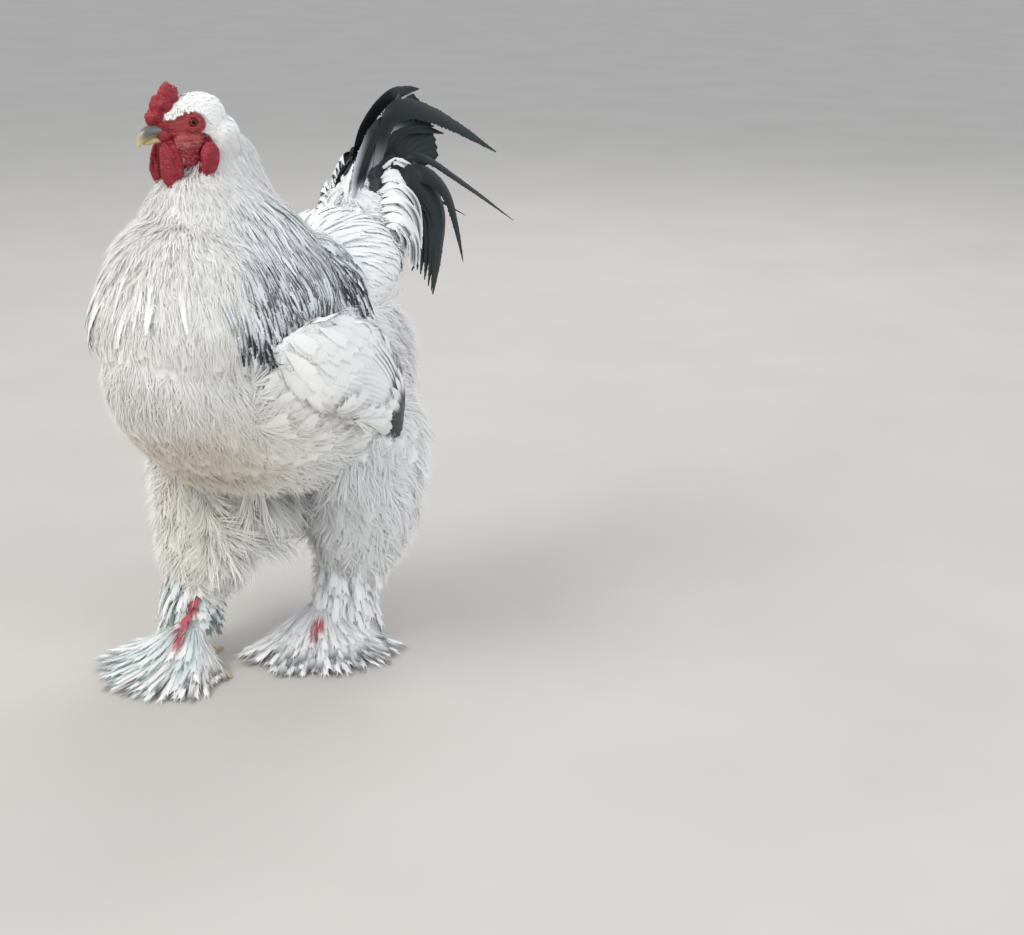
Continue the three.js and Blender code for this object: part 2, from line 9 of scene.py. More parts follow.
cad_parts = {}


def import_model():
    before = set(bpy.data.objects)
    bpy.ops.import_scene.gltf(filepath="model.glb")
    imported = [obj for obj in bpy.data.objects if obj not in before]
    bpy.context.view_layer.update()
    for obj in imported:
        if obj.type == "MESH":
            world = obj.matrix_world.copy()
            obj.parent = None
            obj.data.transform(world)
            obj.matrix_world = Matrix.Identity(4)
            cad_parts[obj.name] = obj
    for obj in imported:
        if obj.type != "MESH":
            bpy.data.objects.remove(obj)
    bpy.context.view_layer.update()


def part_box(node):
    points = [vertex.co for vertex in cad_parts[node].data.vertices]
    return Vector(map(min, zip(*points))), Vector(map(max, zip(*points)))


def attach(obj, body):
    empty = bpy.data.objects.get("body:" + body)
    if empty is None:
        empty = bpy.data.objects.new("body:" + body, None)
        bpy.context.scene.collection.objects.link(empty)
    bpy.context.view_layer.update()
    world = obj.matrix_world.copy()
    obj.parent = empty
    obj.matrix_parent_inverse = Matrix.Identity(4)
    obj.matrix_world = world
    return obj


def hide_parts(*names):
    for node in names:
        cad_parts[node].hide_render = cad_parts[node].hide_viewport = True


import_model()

# The bird's own frame is in millimetres: it faces -Y, its left side is on +X, and its feet stand on z = 0.
MM = 0.001
HEAD = {"at": (-6, -86, 669), "yaw": -24, "scale": 0.9}
EYE = {"at": (21, 0, 4), "radius": 7.6}
FOOT = {-1: (-56, -62), 1: (40, 82)}
TOE_IN = {-1: 26, 1: 14}
HOCK = {"height": 150, "behind": 38}
SIDES = {"right": -1, "left": 1}


def rotated(p, turn):
    """Points turned about the upright axis."""
    x = p[..., 0] * math.cos(turn) - p[..., 1] * math.sin(turn)
    y = p[..., 0] * math.sin(turn) + p[..., 1] * math.cos(turn)
    return np.stack([x, y, p[..., 2]], -1)


def head_point(points):
    """Points of the head's own frame in the bird's frame."""
    return rotated(np.asarray(points, float) * HEAD["scale"], math.radians(HEAD["yaw"])) + HEAD["at"]


def local_head(points):
    """Points of the bird's frame in the head's own."""
    return rotated((np.asarray(points, float) - HEAD["at"]) / HEAD["scale"], -math.radians(HEAD["yaw"]))


# The solids stand on the middle of their box, so the bird's frame is shifted in theirs.
eye_low, eye_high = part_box("eye_left")
SHIFT = np.array((eye_low + eye_high) / 2) - head_point(EYE["at"]) * MM
SHIFT[0] = SHIFT[2] = 0.0


def world(points):
    return np.asarray(points, float) * MM + SHIFT


def unit(v):
    return v / np.maximum(np.linalg.norm(v, axis=-1, keepdims=True), 1e-12)


def step(low, high, x):
    """0 at low, 1 at high, and a smooth rise between."""
    t = np.clip((np.asarray(x, float) - low) / (high - low), 0, 1)
    return t * t * (3 - 2 * t)


def blend(a, b, t):
    t = np.asarray(t, float)[..., None]
    return np.asarray(a) * (1 - t) + np.asarray(b) * t


def cubic(a, b, c, d, w):
    """A smooth line from b to c read at w, and its slope. a and d are the points before and after."""
    m, n = (c - a) / 2, (d - b) / 2
    bend, twist = -3 * b + 3 * c - 2 * m - n, 2 * b - 2 * c + m + n
    return b + m * w + bend * w**2 + twist * w**3, m + 2 * bend * w + 3 * twist * w**2


def through(points, t):
    """A smooth line through points, read at t from 0 to 1."""
    p = np.asarray(points, float)
    ends = np.vstack([2 * p[0] - p[1], p, 2 * p[-1] - p[-2]])
    at = np.clip(t, 0, 1) * (len(p) - 1)
    i = np.minimum(at.astype(int), len(p) - 2)
    return cubic(ends[i], ends[i + 1], ends[i + 2], ends[i + 3], (at - i)[..., None])[0]


class Form:
    """A closed form round a spine. size gives each station's half width and half height."""

    def __init__(self, spine, size, blunt=4, in_head=False):
        self.spine, self.size, self.blunt, self.in_head = spine, size, blunt, in_head

    def wall(self, t, angle, lift=0.0, end=1.0):
        t, angle = np.broadcast_arrays(np.asarray(t, float), np.asarray(angle, float))
        tiny = 1e-3
        tangent = unit(through(self.spine, np.minimum(t + tiny, 1)) - through(self.spine, np.maximum(t - tiny, 0)))
        up = unit(np.cross(np.array([1.0, 0, 0]), tangent))
        side = unit(np.cross(tangent, up))
        half = through(self.size, t)
        out = (np.cos(angle) * (half[..., 0] * end + lift))[..., None] * side
        out = out + (np.sin(angle) * (half[..., 1] * end + lift))[..., None] * up
        p = through(self.spine, t) + out
        return head_point(p) if self.in_head else p

    def close(self, t):
        return np.sqrt(np.maximum(0, 1 - np.abs(2 * t - 1) ** self.blunt))

    def shell(self, inset=0.0, around=32, along=24, lift=None):
        """The form's corners and faces, closed at both ends. lift(t, angle) raises its wall."""
        t = (1 - np.cos(np.pi * np.arange(1, along) / along)) / 2
        angle = 2 * np.pi * np.arange(around) / around
        tt, aa = np.meshgrid(t, angle, indexing="ij")
        raised = -inset + (lift(tt, aa) if lift else 0.0)
        rings = self.wall(tt, aa, raised, self.close(tt)).reshape(-1, 3)
        ends = through(self.spine, np.array([0.0, 1.0]))
        ends = head_point(ends) if self.in_head else ends
        corners = np.vstack([rings, ends])
        first, last = len(rings), len(rings) + 1
        faces = []
        for row in range(along - 2):
            for k in range(around):
                a, b = row * around + k, row * around + (k + 1) % around
                faces.append((a, b, b + around, a + around))
        base = (along - 2) * around
        for k in range(around):
            n = (k + 1) % around
            faces.append((first, n, k))
            faces.append((last, base + k, base + n))
        return corners, faces


def ball(at, radius, stretch=(1, 1, 1), in_head=True, around=20, along=14):
    """A closed ball as corners and faces."""
    t = np.pi * np.arange(1, along) / along
    a = 2 * np.pi * np.arange(around) / around
    tt, aa = np.meshgrid(t, a, indexing="ij")
    p = np.stack([np.sin(tt) * np.cos(aa), np.sin(tt) * np.sin(aa), np.cos(tt)], -1).reshape(-1, 3)
    p = np.vstack([p, [[0, 0, 1], [0, 0, -1]]]) * radius * np.array(stretch) + np.array(at)
    top, bottom = len(p) - 2, len(p) - 1
    faces = []
    for row in range(along - 2):
        for k in range(around):
            i, j = row * around + k, row * around + (k + 1) % around
            faces.append((i, i + around, j + around, j))
    base = (along - 2) * around
    for k in range(around):
        n = (k + 1) % around
        faces.append((top, k, n))
        faces.append((bottom, base + n, base + k))
    return (head_point(p) if in_head else p), faces


def joined(parts):
    """Several corners and faces as one."""
    corners, faces, start = [], [], 0
    for p, f in parts:
        corners.append(p)
        faces += [tuple(i + start for i in face) for face in f]
        start += len(p)
    return np.vstack(corners), faces


def mesh_of(name, corners, faces):
    mesh = bpy.data.meshes.new(name)
    mesh.from_pydata([tuple(p) for p in corners], [], faces)
    mesh.update()
    return mesh


def fill(data, key, values, kind=np.float32):
    data.foreach_set(key, np.asarray(values).astype(kind).ravel())


def tinted(mesh, colours):
    """Gives each corner of a mesh its colour."""
    tint = mesh.attributes.new("tint", "FLOAT_COLOR", "POINT")
    fill(tint.data, "color", np.hstack([colours, np.ones((len(colours), 1))]))


def placed(name, mesh, slot, *nodes):
    """A mesh as a piece of the scene, in the place of some nodes."""
    ob = bpy.data.objects.new(name, mesh)
    bpy.context.scene.collection.objects.link(ob)
    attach(ob, "root")
    if nodes:
        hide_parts(*nodes)
    return ob


def remeshed(parts, voxel, smooth):
    """Closed shells fused into one surface, as corners in metres and faces."""
    corners, faces = joined(parts)
    mesh = mesh_of("fused", world(corners), faces)
    ob = bpy.data.objects.new("fused", mesh)
    bpy.context.scene.collection.objects.link(ob)
    fuse = ob.modifiers.new("fuse", "REMESH")
    fuse.mode = "VOXEL"
    fuse.voxel_size = voxel * MM
    soften = ob.modifiers.new("soften", "SMOOTH")
    soften.factor = 0.5
    soften.iterations = smooth
    done = bpy.data.meshes.new_from_object(ob.evaluated_get(bpy.context.evaluated_depsgraph_get()))
    points = np.zeros(len(done.vertices) * 3)
    done.vertices.foreach_get("co", points)
    polygons = [tuple(p.vertices) for p in done.polygons]
    bpy.data.objects.remove(ob)
    bpy.data.meshes.remove(mesh)
    bpy.data.meshes.remove(done)
    return points.reshape(-1, 3), polygons


# The body's forms
def ankle_point(s, forward, outward, z):
    """A point of a foot: how far ahead of the ankle, how far to its outer side, and how high."""
    point = np.array([s * outward, -forward, z], float)
    return rotated(point, -s * math.radians(TOE_IN[s])) + [*FOOT[s], 0]


def along(s, angle, reach, z):
    """A point of a foot at an angle from straight ahead, the outer side being positive."""
    a = math.radians(angle)
    return ankle_point(s, reach * math.cos(a), reach * math.sin(a), z)


BODY = Form(
    [[0, -208, 420], [0, -160, 402], [0, -80, 374], [0, 0, 356], [0, 90, 348], [0, 170, 332], [0, 250, 318]],
    [[50, 44], [104, 86], [136, 122], [142, 142], [138, 150], [124, 136], [84, 84]],
    blunt=3,
)
SADDLE = Form(
    [[0, -60, 410], [0, 40, 436], [0, 120, 458], [0, 190, 482], [0, 246, 515]],
    [[96, 50], [116, 64], [114, 76], [100, 74], [64, 46]],
)
CAPE = Form(
    [[5, -61, 655], [4, -47, 616], [1, -50, 570], [0, -46, 520], [0, -42, 470], [0, -44, 420]],
    [[24, 33], [42, 65], [84, 96], [116, 128], [138, 150], [136, 144]],
    blunt=10,
)
TAIL_ROOT = Form(
    [[0, 205, 508], [0, 240, 540], [0, 275, 566], [0, 300, 584]],
    [[34, 34], [38, 46], [30, 42], [16, 22]],
)


def thigh(s):
    x, y = FOOT[s]
    return Form(
        [[s * 66, y * 0.5 + 50, 330], [s * 74, y * 0.7 + 60, 262], [s * 72, y * 0.85 + 54, 180],
         [x + s * 6, y + HOCK["behind"], 84]],
        [[60, 70], [70, 94], [64, 80], [52, 56]],
        blunt=8,
    )


def shank(s):
    x, y = FOOT[s]
    return Form(
        [[x, y + 42, 190], [x, y + HOCK["behind"], HOCK["height"]], [x, y + 16, 80], [x, y + 2, 20]],
        [[15, 15], [15, 16], [12, 13], [15, 16]],
        blunt=8,
    )


def wing(s):
    return Form(
        [[s * 112, -120, 424], [s * 148, -60, 414], [s * 155, 10, 384], [s * 146, 68, 340], [s * 124, 108, 284]],
        [[12, 24], [14, 56], [15, 62], [12, 46], [6, 12]],
        blunt=5,
    )


TOES = {1: (-150, 34, 6), 2: (-50, 58, 7), 3: (0, 78, 7.5), 4: (48, 66, 7)}
CLAW = {"length": 17, "radius": 4}


def toe(s, angle, length, radius):
    return Form(
        [along(s, angle, 0, 20), along(s, angle, length * 0.35, 12), along(s, angle, length * 0.7, radius * 0.75),
         along(s, angle, length, radius * 0.7)],
        [[radius * 1.3, radius * 1.5], [radius, radius], [radius, radius], [radius * 0.85, radius * 0.85]],
        blunt=8,
    )


def claw(s, angle, length, radius):
    return Form(
        [along(s, angle, length - 4, radius * 0.75), along(s, angle, length + CLAW["length"] * 0.5, radius * 0.8),
         along(s, angle, length + CLAW["length"], 1.2)],
        [[CLAW["radius"], CLAW["radius"]], [CLAW["radius"] * 0.7, CLAW["radius"] * 0.75], [0.8, 0.8]],
        blunt=12,
    )


def instep(s):
    return Form(
        [ankle_point(s, *at) for at in ((-26, 2, 14), (-6, 4, 19), (18, 7, 18), (40, 10, 12))],
        [[16, 12], [26, 18], [28, 16], [18, 9]],
    )


SKULL = Form(
    [[0, -42, -6], [0, -26, 2], [0, 0, 4], [0, 26, 2], [0, 46, -10]],
    [[14, 14], [22, 25], [27, 32], [28, 34], [20, 26]],
    in_head=True,
)
JAW = Form(
    [[0, -40, -16], [0, -22, -28], [0, 4, -38], [0, 24, -44]],
    [[10, 8], [18, 18], [25, 24], [24, 20]],
    in_head=True,
)


# Materials
class Nodes:
    """Builds a material's nodes with short calls."""

    def __init__(self, name):
        self.material = bpy.data.materials.new(name)
        self.material.use_nodes = True
        self.tree = self.material.node_tree
        self.shader = self.tree.nodes["Principled BSDF"]

    def new(self, kind, **values):
        node = self.tree.nodes.new(kind)
        for key, value in values.items():
            if hasattr(node, key):
                setattr(node, key, value)
            else:
                node.inputs[key.replace("_", " ")].default_value = value
        return node

    def link(self, a, b):
        self.tree.links.new(a, b)

    def set(self, **values):
        for key, value in values.items():
            self.shader.inputs[key.replace("_", " ")].default_value = value

    def mix(self, kind, factor, a, b):
        node = self.new("ShaderNodeMix", data_type="RGBA", blend_type=kind)
        for socket, value in ((node.inputs[0], factor), (node.inputs[6], a), (node.inputs[7], b)):
            if isinstance(value, bpy.types.NodeSocket):
                self.link(value, socket)
            else:
                socket.default_value = value
        return node.outputs[2]

    def ramp(self, fac, stops):
        node = self.new("ShaderNodeValToRGB")
        self.link(fac, node.inputs[0])
        elements = node.color_ramp.elements
        while len(elements) < len(stops):
            elements.new(0.5)
        for element, (at, colour) in zip(elements, stops):
            element.position = at
            element.color = colour
        return node.outputs[0]

    def bump(self, height, strength, distance):
        node = self.new("ShaderNodeBump", Strength=strength, Distance=distance)
        self.link(height, node.inputs["Height"])
        self.link(node.outputs[0], self.shader.inputs["Normal"])


def grey(value):
    return (value, value, value, 1.0)


def feather_material(name, roughness, sheen, specular=0.3):
    """The colour that each vane carries, with the fine lines of its barbs."""
    n = Nodes(name)
    tint = n.new("ShaderNodeAttribute", attribute_name="tint")
    lines = n.new("ShaderNodeAttribute", attribute_name="barbs")
    wave = n.new("ShaderNodeTexNoise", Scale=1.0, Detail=2.0, Roughness=0.6)
    n.link(lines.outputs["Vector"], wave.inputs["Vector"])
    shade = n.ramp(wave.outputs["Fac"], [(0.3, grey(0.90)), (0.7, grey(1.0))])
    n.link(n.mix("MULTIPLY", 0.75, tint.outputs["Color"], shade), n.shader.inputs["Base Color"])
    n.bump(wave.outputs["Fac"], 0.15, 0.0004)
    n.set(Roughness=roughness, Sheen_Weight=sheen, Sheen_Roughness=0.5, Specular_IOR_Level=specular)
    return n.material


def skin_material():
    n = Nodes("skin")
    tint = n.new("ShaderNodeAttribute", attribute_name="tint")
    place = n.new("ShaderNodeTexCoord")
    fine = n.new("ShaderNodeTexNoise", Scale=520.0, Detail=4.0, Roughness=0.65)
    cells = n.new("ShaderNodeTexVoronoi", Scale=620.0)
    broad = n.new("ShaderNodeTexNoise", Scale=90.0, Detail=3.0)
    for node in (fine, cells, broad):
        n.link(place.outputs["Object"], node.inputs["Vector"])
    light = n.ramp(fine.outputs["Fac"], [(0.3, grey(0.62)), (0.72, grey(1.25))])
    first = n.mix("MULTIPLY", 0.8, tint.outputs["Color"], light)
    wide = n.ramp(broad.outputs["Fac"], [(0.35, grey(0.75)), (0.65, grey(1.12))])
    n.link(n.mix("MULTIPLY", 0.7, first, wide), n.shader.inputs["Base Color"])
    height = n.new("ShaderNodeMath", operation="MULTIPLY_ADD")
    n.link(cells.outputs["Distance"], height.inputs[0])
    height.inputs[1].default_value = 0.7
    n.link(fine.outputs["Fac"], height.inputs[2])
    n.bump(height.outputs[0], 0.75, 0.0012)
    n.set(Roughness=0.36, Specular_IOR_Level=0.45, Subsurface_Weight=0.12, Subsurface_Scale=0.004)
    n.set(Subsurface_Radius=(1.0, 0.25, 0.15))
    return n.material


# Feathers
def drawn(u, v, e, faces):
    """A feather's arrays, with each face's corners in the order that shows its upper side."""
    u, v, e, faces = np.array(u), np.array(v), np.array(e), np.array(faces, int)
    a, b, c = faces.T
    turned = (u[b] - u[a]) * (v[c] - v[a]) - (u[c] - u[a]) * (v[b] - v[a]) > 0
    faces[turned] = faces[turned][:, ::-1]
    return u, v, e, faces


def template(rows, split, widths, slope, ragged, seed, tips=2, curl=0.0, rough=1.0, top=0.93):
    """One feather in its own frame: u along it, v across it and e off it, with split barbs at its edges."""
    draw = np.random.default_rng(seed)
    stops = np.linspace(0, 1, len(widths))

    def wide(u):
        return np.interp(u, stops, widths)

    shaft = np.linspace(0, top, rows + 1)
    u, v, e = list(shaft), [0.0] * (rows + 1), [0.0] * (rows + 1)
    faces = []
    for s in (-1, 1):
        start = len(u)
        for k in range(rows + 1):
            w = wide(shaft[k]) * split * (1 if k < rows else 0.5)
            u.append(min(1.0, shaft[k] + slope * w))
            v.append(s * w)
            e.append(draw.normal(0, 0.02) * rough)
        for k in range(rows):
            a, b, c, d = k, k + 1, start + k + 1, start + k
            faces += [(a, b, c), (a, c, d)] if s > 0 else [(b, a, c), (c, a, d)]
            for tip in range(tips):
                f0, f1 = tip / tips, (tip + 1) / tips
                first = middle if tip else d
                if tip == tips - 1:
                    last = c
                else:
                    middle = len(u)
                    for values in (u, v, e):
                        values.append(values[d] * (1 - f1) + values[c] * f1)
                    last = middle
                at = shaft[k] + (shaft[1] - shaft[0]) * (f0 + f1) / 2
                w = wide(at) * (1 + draw.uniform(-ragged, ragged * 0.6))
                end = len(u)
                u.append(min(1.06, at + slope * w * 1.25 + draw.uniform(-0.3, 0.5) * ragged * 0.2))
                v.append(s * w)
                e.append(draw.normal(0, 0.12) * (0.5 + ragged) * rough - curl * draw.uniform(0.2, 1))
                faces += [(first, last, end)] if s < 0 else [(last, first, end)]
    return drawn(u, v, e, faces)


def wisp(seed, blades=11, thin=0.05):
    """A tuft of thin loose barbs from one root."""
    draw = np.random.default_rng(seed)
    u, v, e, faces = [], [], [], []
    for k in range(blades):
        lean = 2 * (k + draw.uniform(0.1, 0.9)) / blades - 1
        long = draw.uniform(0.6, 1.02) * (1 - 0.25 * abs(lean))
        rise, bend = draw.normal(0, 0.25), draw.normal(0, 0.25)
        start = len(u)
        for at in (0.0, 0.4, 0.75):
            middle = lean * at**1.1 + bend * at * at
            for side in (-1, 1):
                u.append(at * long)
                v.append(middle + side * thin * (1 - 0.5 * at))
                e.append(rise * at * at)
        u.append(long)
        v.append(lean + bend)
        e.append(rise)
        for row in (0, 2):
            a, b, c, d = start + row, start + row + 1, start + row + 3, start + row + 2
            faces += [(b, a, c), (c, a, d)]
        faces.append((start + 5, start + 4, start + 6))
    return drawn(u, v, e, faces)


ROUNDED = [0.1, 0.5, 0.82, 0.97, 1.0, 0.95, 0.8, 0.35]
BROAD = [0.1, 0.6, 0.9, 1.0, 1.0, 0.96, 0.84, 0.5]
LANCE = [0.2, 0.6, 0.9, 1.0, 0.92, 0.72, 0.45, 0.12]
SICKLE = [0.35, 0.8, 1.0, 1.0, 0.92, 0.74, 0.48, 0.06]
QUILL = [0.3, 0.75, 0.95, 1.0, 1.0, 0.98, 0.85, 0.4]


def templates(count, seed, **values):
    return [template(seed=seed + i, **values) for i in range(count)]


BODY_FEATHER = templates(
    6, 100, rows=8, split=0.6, widths=BROAD, slope=0.2, ragged=0.25, tips=3, curl=0.1, rough=0.35
)
DOWN_FEATHER = templates(
    6, 200, rows=8, split=0.5, widths=ROUNDED, slope=0.25, ragged=0.5, tips=3, curl=0.2, rough=0.6
)
HACKLE = templates(5, 300, rows=8, split=0.66, widths=LANCE, slope=0.05, ragged=0.3, rough=0.5)
SMALL = templates(4, 400, rows=4, split=0.5, widths=ROUNDED, slope=0.2, ragged=0.5, tips=1, rough=0.5)
VANE = templates(
    4, 500, rows=36, split=0.93, widths=QUILL, slope=0.05, ragged=0.05, tips=1, rough=0.08, top=0.99
)
BLADE = templates(
    4, 600, rows=44, split=0.88, widths=SICKLE, slope=0.02, ragged=0.12, tips=1, rough=0.1, top=1.0
)
WISP = [wisp(800 + k) for k in range(6)]
FOOT_FEATHER = templates(6, 700, rows=10, split=0.5, widths=QUILL, slope=0.16, ragged=0.55)
COVERT = templates(4, 900, rows=12, split=0.86, widths=BROAD, slope=0.12, ragged=0.08, tips=1, rough=0.15)

# The roots of all feathers laid so far, and the side of a feather's patch on the unwrap
ROOTS = []
PATCH = 0.003


class Coat:
    """The feathers of one piece."""

    def __init__(self, name, material, slot):
        self.name, self.material, self.slot = name, material, slot
        self.corners, self.faces, self.tints, self.barbs, self.faced = [], [], [], [], []
        self.patches, self.start = [], 0

    def add(self, path, normal, wide, shapes, colour, place, cup=0.25, roll=None, seed=1, soft=0.5):
        """path: the points of each feather's shaft, normal: the way its face looks, in the bird's frame.
        colour(u, v, path, dice, width) gives each corner's colour. place is where each root lies on the unwrap."""
        draw = np.random.default_rng(seed)
        count = len(path)
        ROOTS.append(path[:, 0])
        wide = np.broadcast_to(np.asarray(wide, float), (count,))
        roll = draw.normal(0, 0.07, count) if roll is None else np.broadcast_to(roll, (count,))
        pick = draw.integers(0, len(shapes), count)
        flip = draw.choice([-1.0, 1.0], count)
        dice = draw.uniform(0, 1, count)
        for k, (u, v, e, faces) in enumerate(shapes):
            chosen = np.where(pick == k)[0]
            if not len(chosen):
                continue
            p, n, w = path[chosen], normal[chosen], wide[chosen][:, None]
            stops = p.shape[1] - 1
            at = np.clip(u, 0, 1) * stops
            i = np.minimum(at.astype(int), stops - 1)
            f = (at - i)[None, :, None]
            ends = np.concatenate([2 * p[:, :1] - p[:, 1:2], p, 2 * p[:, -1:] - p[:, -2:-1]], 1)
            shaft, slope = cubic(ends[:, i], ends[:, i + 1], ends[:, i + 2], ends[:, i + 3], f)
            tangent = unit(slope)
            long = np.linalg.norm(p[:, -1] - p[:, 0], axis=-1)[:, None]
            shaft = shaft + tangent * (np.maximum(u - 1, 0)[None, :, None] * long[:, :, None])
            face = n[:, i] * (1 - f) + n[:, i + 1] * f
            face = unit(face - tangent * np.sum(face * tangent, -1, keepdims=True))
            side = np.cross(tangent, face)
            turn = roll[chosen][:, None, None]
            side, face = side * np.cos(turn) + face * np.sin(turn), face * np.cos(turn) - side * np.sin(turn)
            vv = v[None, :] * flip[chosen][:, None]
            off = e[None, :] * w - cup * w * vv**2
            corners = (shaft + side * (vv * w)[..., None] + face * off[..., None]).reshape(-1, 3)
            tri = faces[None] + (np.arange(len(chosen)) * len(u))[:, None, None]
            turned = flip[chosen] < 0
            tri[turned] = tri[turned][:, :, ::-1]
            self.corners.append(corners)
            shown = face + side * (soft * 0.9 * vv)[..., None]
            self.faced.append(unit(shown).reshape(-1, 3))
            self.faces.append(tri.reshape(-1, 3) + self.start)
            self.start += len(corners)
            uu = np.broadcast_to(u[None, :], vv.shape)
            colours = colour(uu, vv, p, dice[chosen][:, None], w)
            self.tints.append(np.broadcast_to(colours, vv.shape + (3,)).reshape(-1, 3))
            out = np.abs(vv) * w
            apart = np.broadcast_to(dice[chosen][:, None] * 90, vv.shape)
            self.barbs.append(np.stack([(uu * long - out * 0.8) * 0.9, out * 0.12, apart], -1).reshape(-1, 3))
            patch = np.stack([(vv + 1) / 2, uu], -1) * PATCH + place[chosen][:, None, :]
            self.patches.append(patch.reshape(-1, 2))

    def made(self):
        """Makes the piece, with no corner below the floor."""
        corners = world(np.concatenate(self.corners))
        corners[:, 2] = np.maximum(corners[:, 2], 0.4 * MM)
        faces = np.concatenate(self.faces)
        mesh = bpy.data.meshes.new(self.name)
        mesh.vertices.add(len(corners))
        fill(mesh.vertices, "co", corners)
        mesh.loops.add(faces.size)
        fill(mesh.loops, "vertex_index", faces, np.int32)
        mesh.polygons.add(len(faces))
        mesh.polygons.foreach_set("loop_start", np.arange(0, faces.size, 3, dtype=np.int32))
        mesh.polygons.foreach_set("use_smooth", np.ones(len(faces), bool))
        mesh.update(calc_edges=True)
        tinted(mesh, np.concatenate(self.tints))
        fill(mesh.attributes.new("barbs", "FLOAT_VECTOR", "POINT").data, "vector", np.concatenate(self.barbs))
        layer = mesh.uv_layers.new(name="OFBake")
        fill(layer.data, "uv", np.concatenate(self.patches)[faces.ravel()])
        mesh.materials.append(self.material)
        mesh.normals_split_custom_set_from_vertices(np.concatenate(self.faced).astype(np.float32))
        placed(self.name, mesh, self.slot)


def cells(t, angle):
    """Where roots lie on the unwrap of a form: round it and along it, each in a cell of its own."""
    size = 0.0032
    count = int(0.98 / size)
    column = np.clip(((angle / (2 * np.pi)) % 1.0) * count, 0, count - 1).astype(int)
    row = np.clip(t * count, 0, count - 1).astype(int)
    used, where = set(), []
    for c, r in zip(column, row):
        while (c, r) in used:
            c += 1
            if c >= count:
                c, r = 0, (r + 1) % count
        used.add((c, r))
        where.append((0.01 + c * size, 0.01 + r * size))
    return np.array(where)


def rows_on(form, spacing, inset, t_range, seed, squash):
    """Root places in staggered rows over a form: t and angle."""
    jitter = 0.3
    draw = np.random.default_rng(seed)
    samples = np.linspace(*t_range, 200)
    line = through(form.spine, samples)
    radius = (through(form.size, samples) * form.close(samples)[:, None]).mean(1)
    steps = np.hypot(np.linalg.norm(np.diff(line, axis=0), axis=1), np.diff(radius))
    travelled = np.concatenate([[0], np.cumsum(steps)])
    rows = np.arange(spacing * 0.5, travelled[-1], spacing * squash)
    t_out, a_out = [], []
    for k, at in enumerate(rows):
        t = np.interp(at, travelled, samples)
        r = max(1.0, np.interp(at, travelled, radius) - inset)
        count = max(3, int(round(2 * np.pi * r / spacing)))
        angle = 2 * np.pi * (np.arange(count) + 0.5 * (k % 2) + draw.uniform(-jitter, jitter, count)) / count
        t_out.append(np.clip(t + draw.uniform(-jitter, jitter, count) * spacing / travelled[-1], *t_range))
        a_out.append(angle)
    return np.concatenate(t_out), np.concatenate(a_out) % (2 * np.pi)


class Surface:
    """The skin, read at the nearest point."""

    def __init__(self, corners, faces):
        bird = (corners - SHIFT) / MM
        self.tree = BVHTree.FromPolygons([tuple(p) for p in bird], faces)

    def nearest(self, points):
        where, way, far = np.empty_like(points), np.empty_like(points), np.empty(len(points))
        for i, p in enumerate(points):
            at, normal, _, distance = self.tree.find_nearest(Vector(p))
            where[i], way[i], far[i] = at, normal, distance
        return where, way, far


def walk(surface, start, lie, long, raise_by, stops=4):
    """Shafts that follow the skin: from start, the way that lie(point, normal) says, rising off it.
    raise_by gives the height at the root and at the tip."""
    here, normal, _ = surface.nearest(start)
    points, normals = [here + normal * raise_by[0][:, None]], [normal]
    for k in range(1, stops + 1):
        way = lie(here, normal)
        way = unit(way - normal * np.sum(way * normal, -1, keepdims=True))
        here, fresh, _ = surface.nearest(here + way * (long / stops)[:, None])
        normal = unit(normal * 0.35 + fresh * 0.65)
        height = raise_by[0] + (raise_by[1] - raise_by[0]) * (k / stops) ** 0.6
        points.append(here + normal * height[:, None])
        normals.append(normal)
    return np.stack(points, 1), np.stack(normals, 1)


# The skin: the flesh of body and legs, and a finer one for the head
def deep(form, at_top, at_bottom):
    """A form's shell whose depth under the wall changes from its first end on."""
    return form.shell(lift=lambda t, a: -(at_top + (at_bottom - at_top) * np.clip(t / 0.35, 0, 1)))


# How deep the skin lies under the forms, in the plumage
BODY_DEPTH, SADDLE_DEPTH, THIGH_DEPTH = 11, 16, 16
NAPE = ball((9, -54, 651), 26, (1, 1, 1.1), in_head=False)
BIB = Form(
    [[0, -58, 552], [0, -72, 520], [0, -86, 470], [0, -92, 420], [0, -88, 360]],
    [[60, 66], [98, 94], [112, 108], [114, 113], [96, 98]],
)
body_parts = [BODY.shell(BODY_DEPTH), SADDLE.shell(SADDLE_DEPTH), deep(CAPE, 5, 14), TAIL_ROOT.shell(3)]
body_parts += [NAPE, BIB.shell()]
for s in (-1, 1):
    body_parts += [wing(s).shell(7), thigh(s).shell(THIGH_DEPTH), shank(s).shell(1.5)]
body_skin = remeshed(body_parts, 4.0, smooth=8)

foot_parts = []
for s in (-1, 1):
    foot_parts += [instep(s).shell(1), shank(s).shell(1.5)]
    foot_parts += [toe(s, *sizes).shell(0, around=16, along=20) for sizes in TOES.values()]
foot_skin = remeshed(foot_parts, 1.6, smooth=3)
foot_skin[0][:, 2] = np.maximum(foot_skin[0][:, 2], 0.3 * MM)

LUMPS = [
    [(0, -22, 36), 14, (0.8, 1, 1.05)], [(0, -36, 24), 11, (0.9, 1, 1.1)], [(0, -44, 9), 9, (1, 1, 1.2)],
    [(8, -30, 27), 9, (0.9, 1, 1.2)], [(-8, -30, 27), 9, (0.9, 1, 1.2)],
    [(8, -40, 13), 7, (0.9, 1, 1.2)], [(-8, -40, 13), 7, (0.9, 1, 1.2)],
]


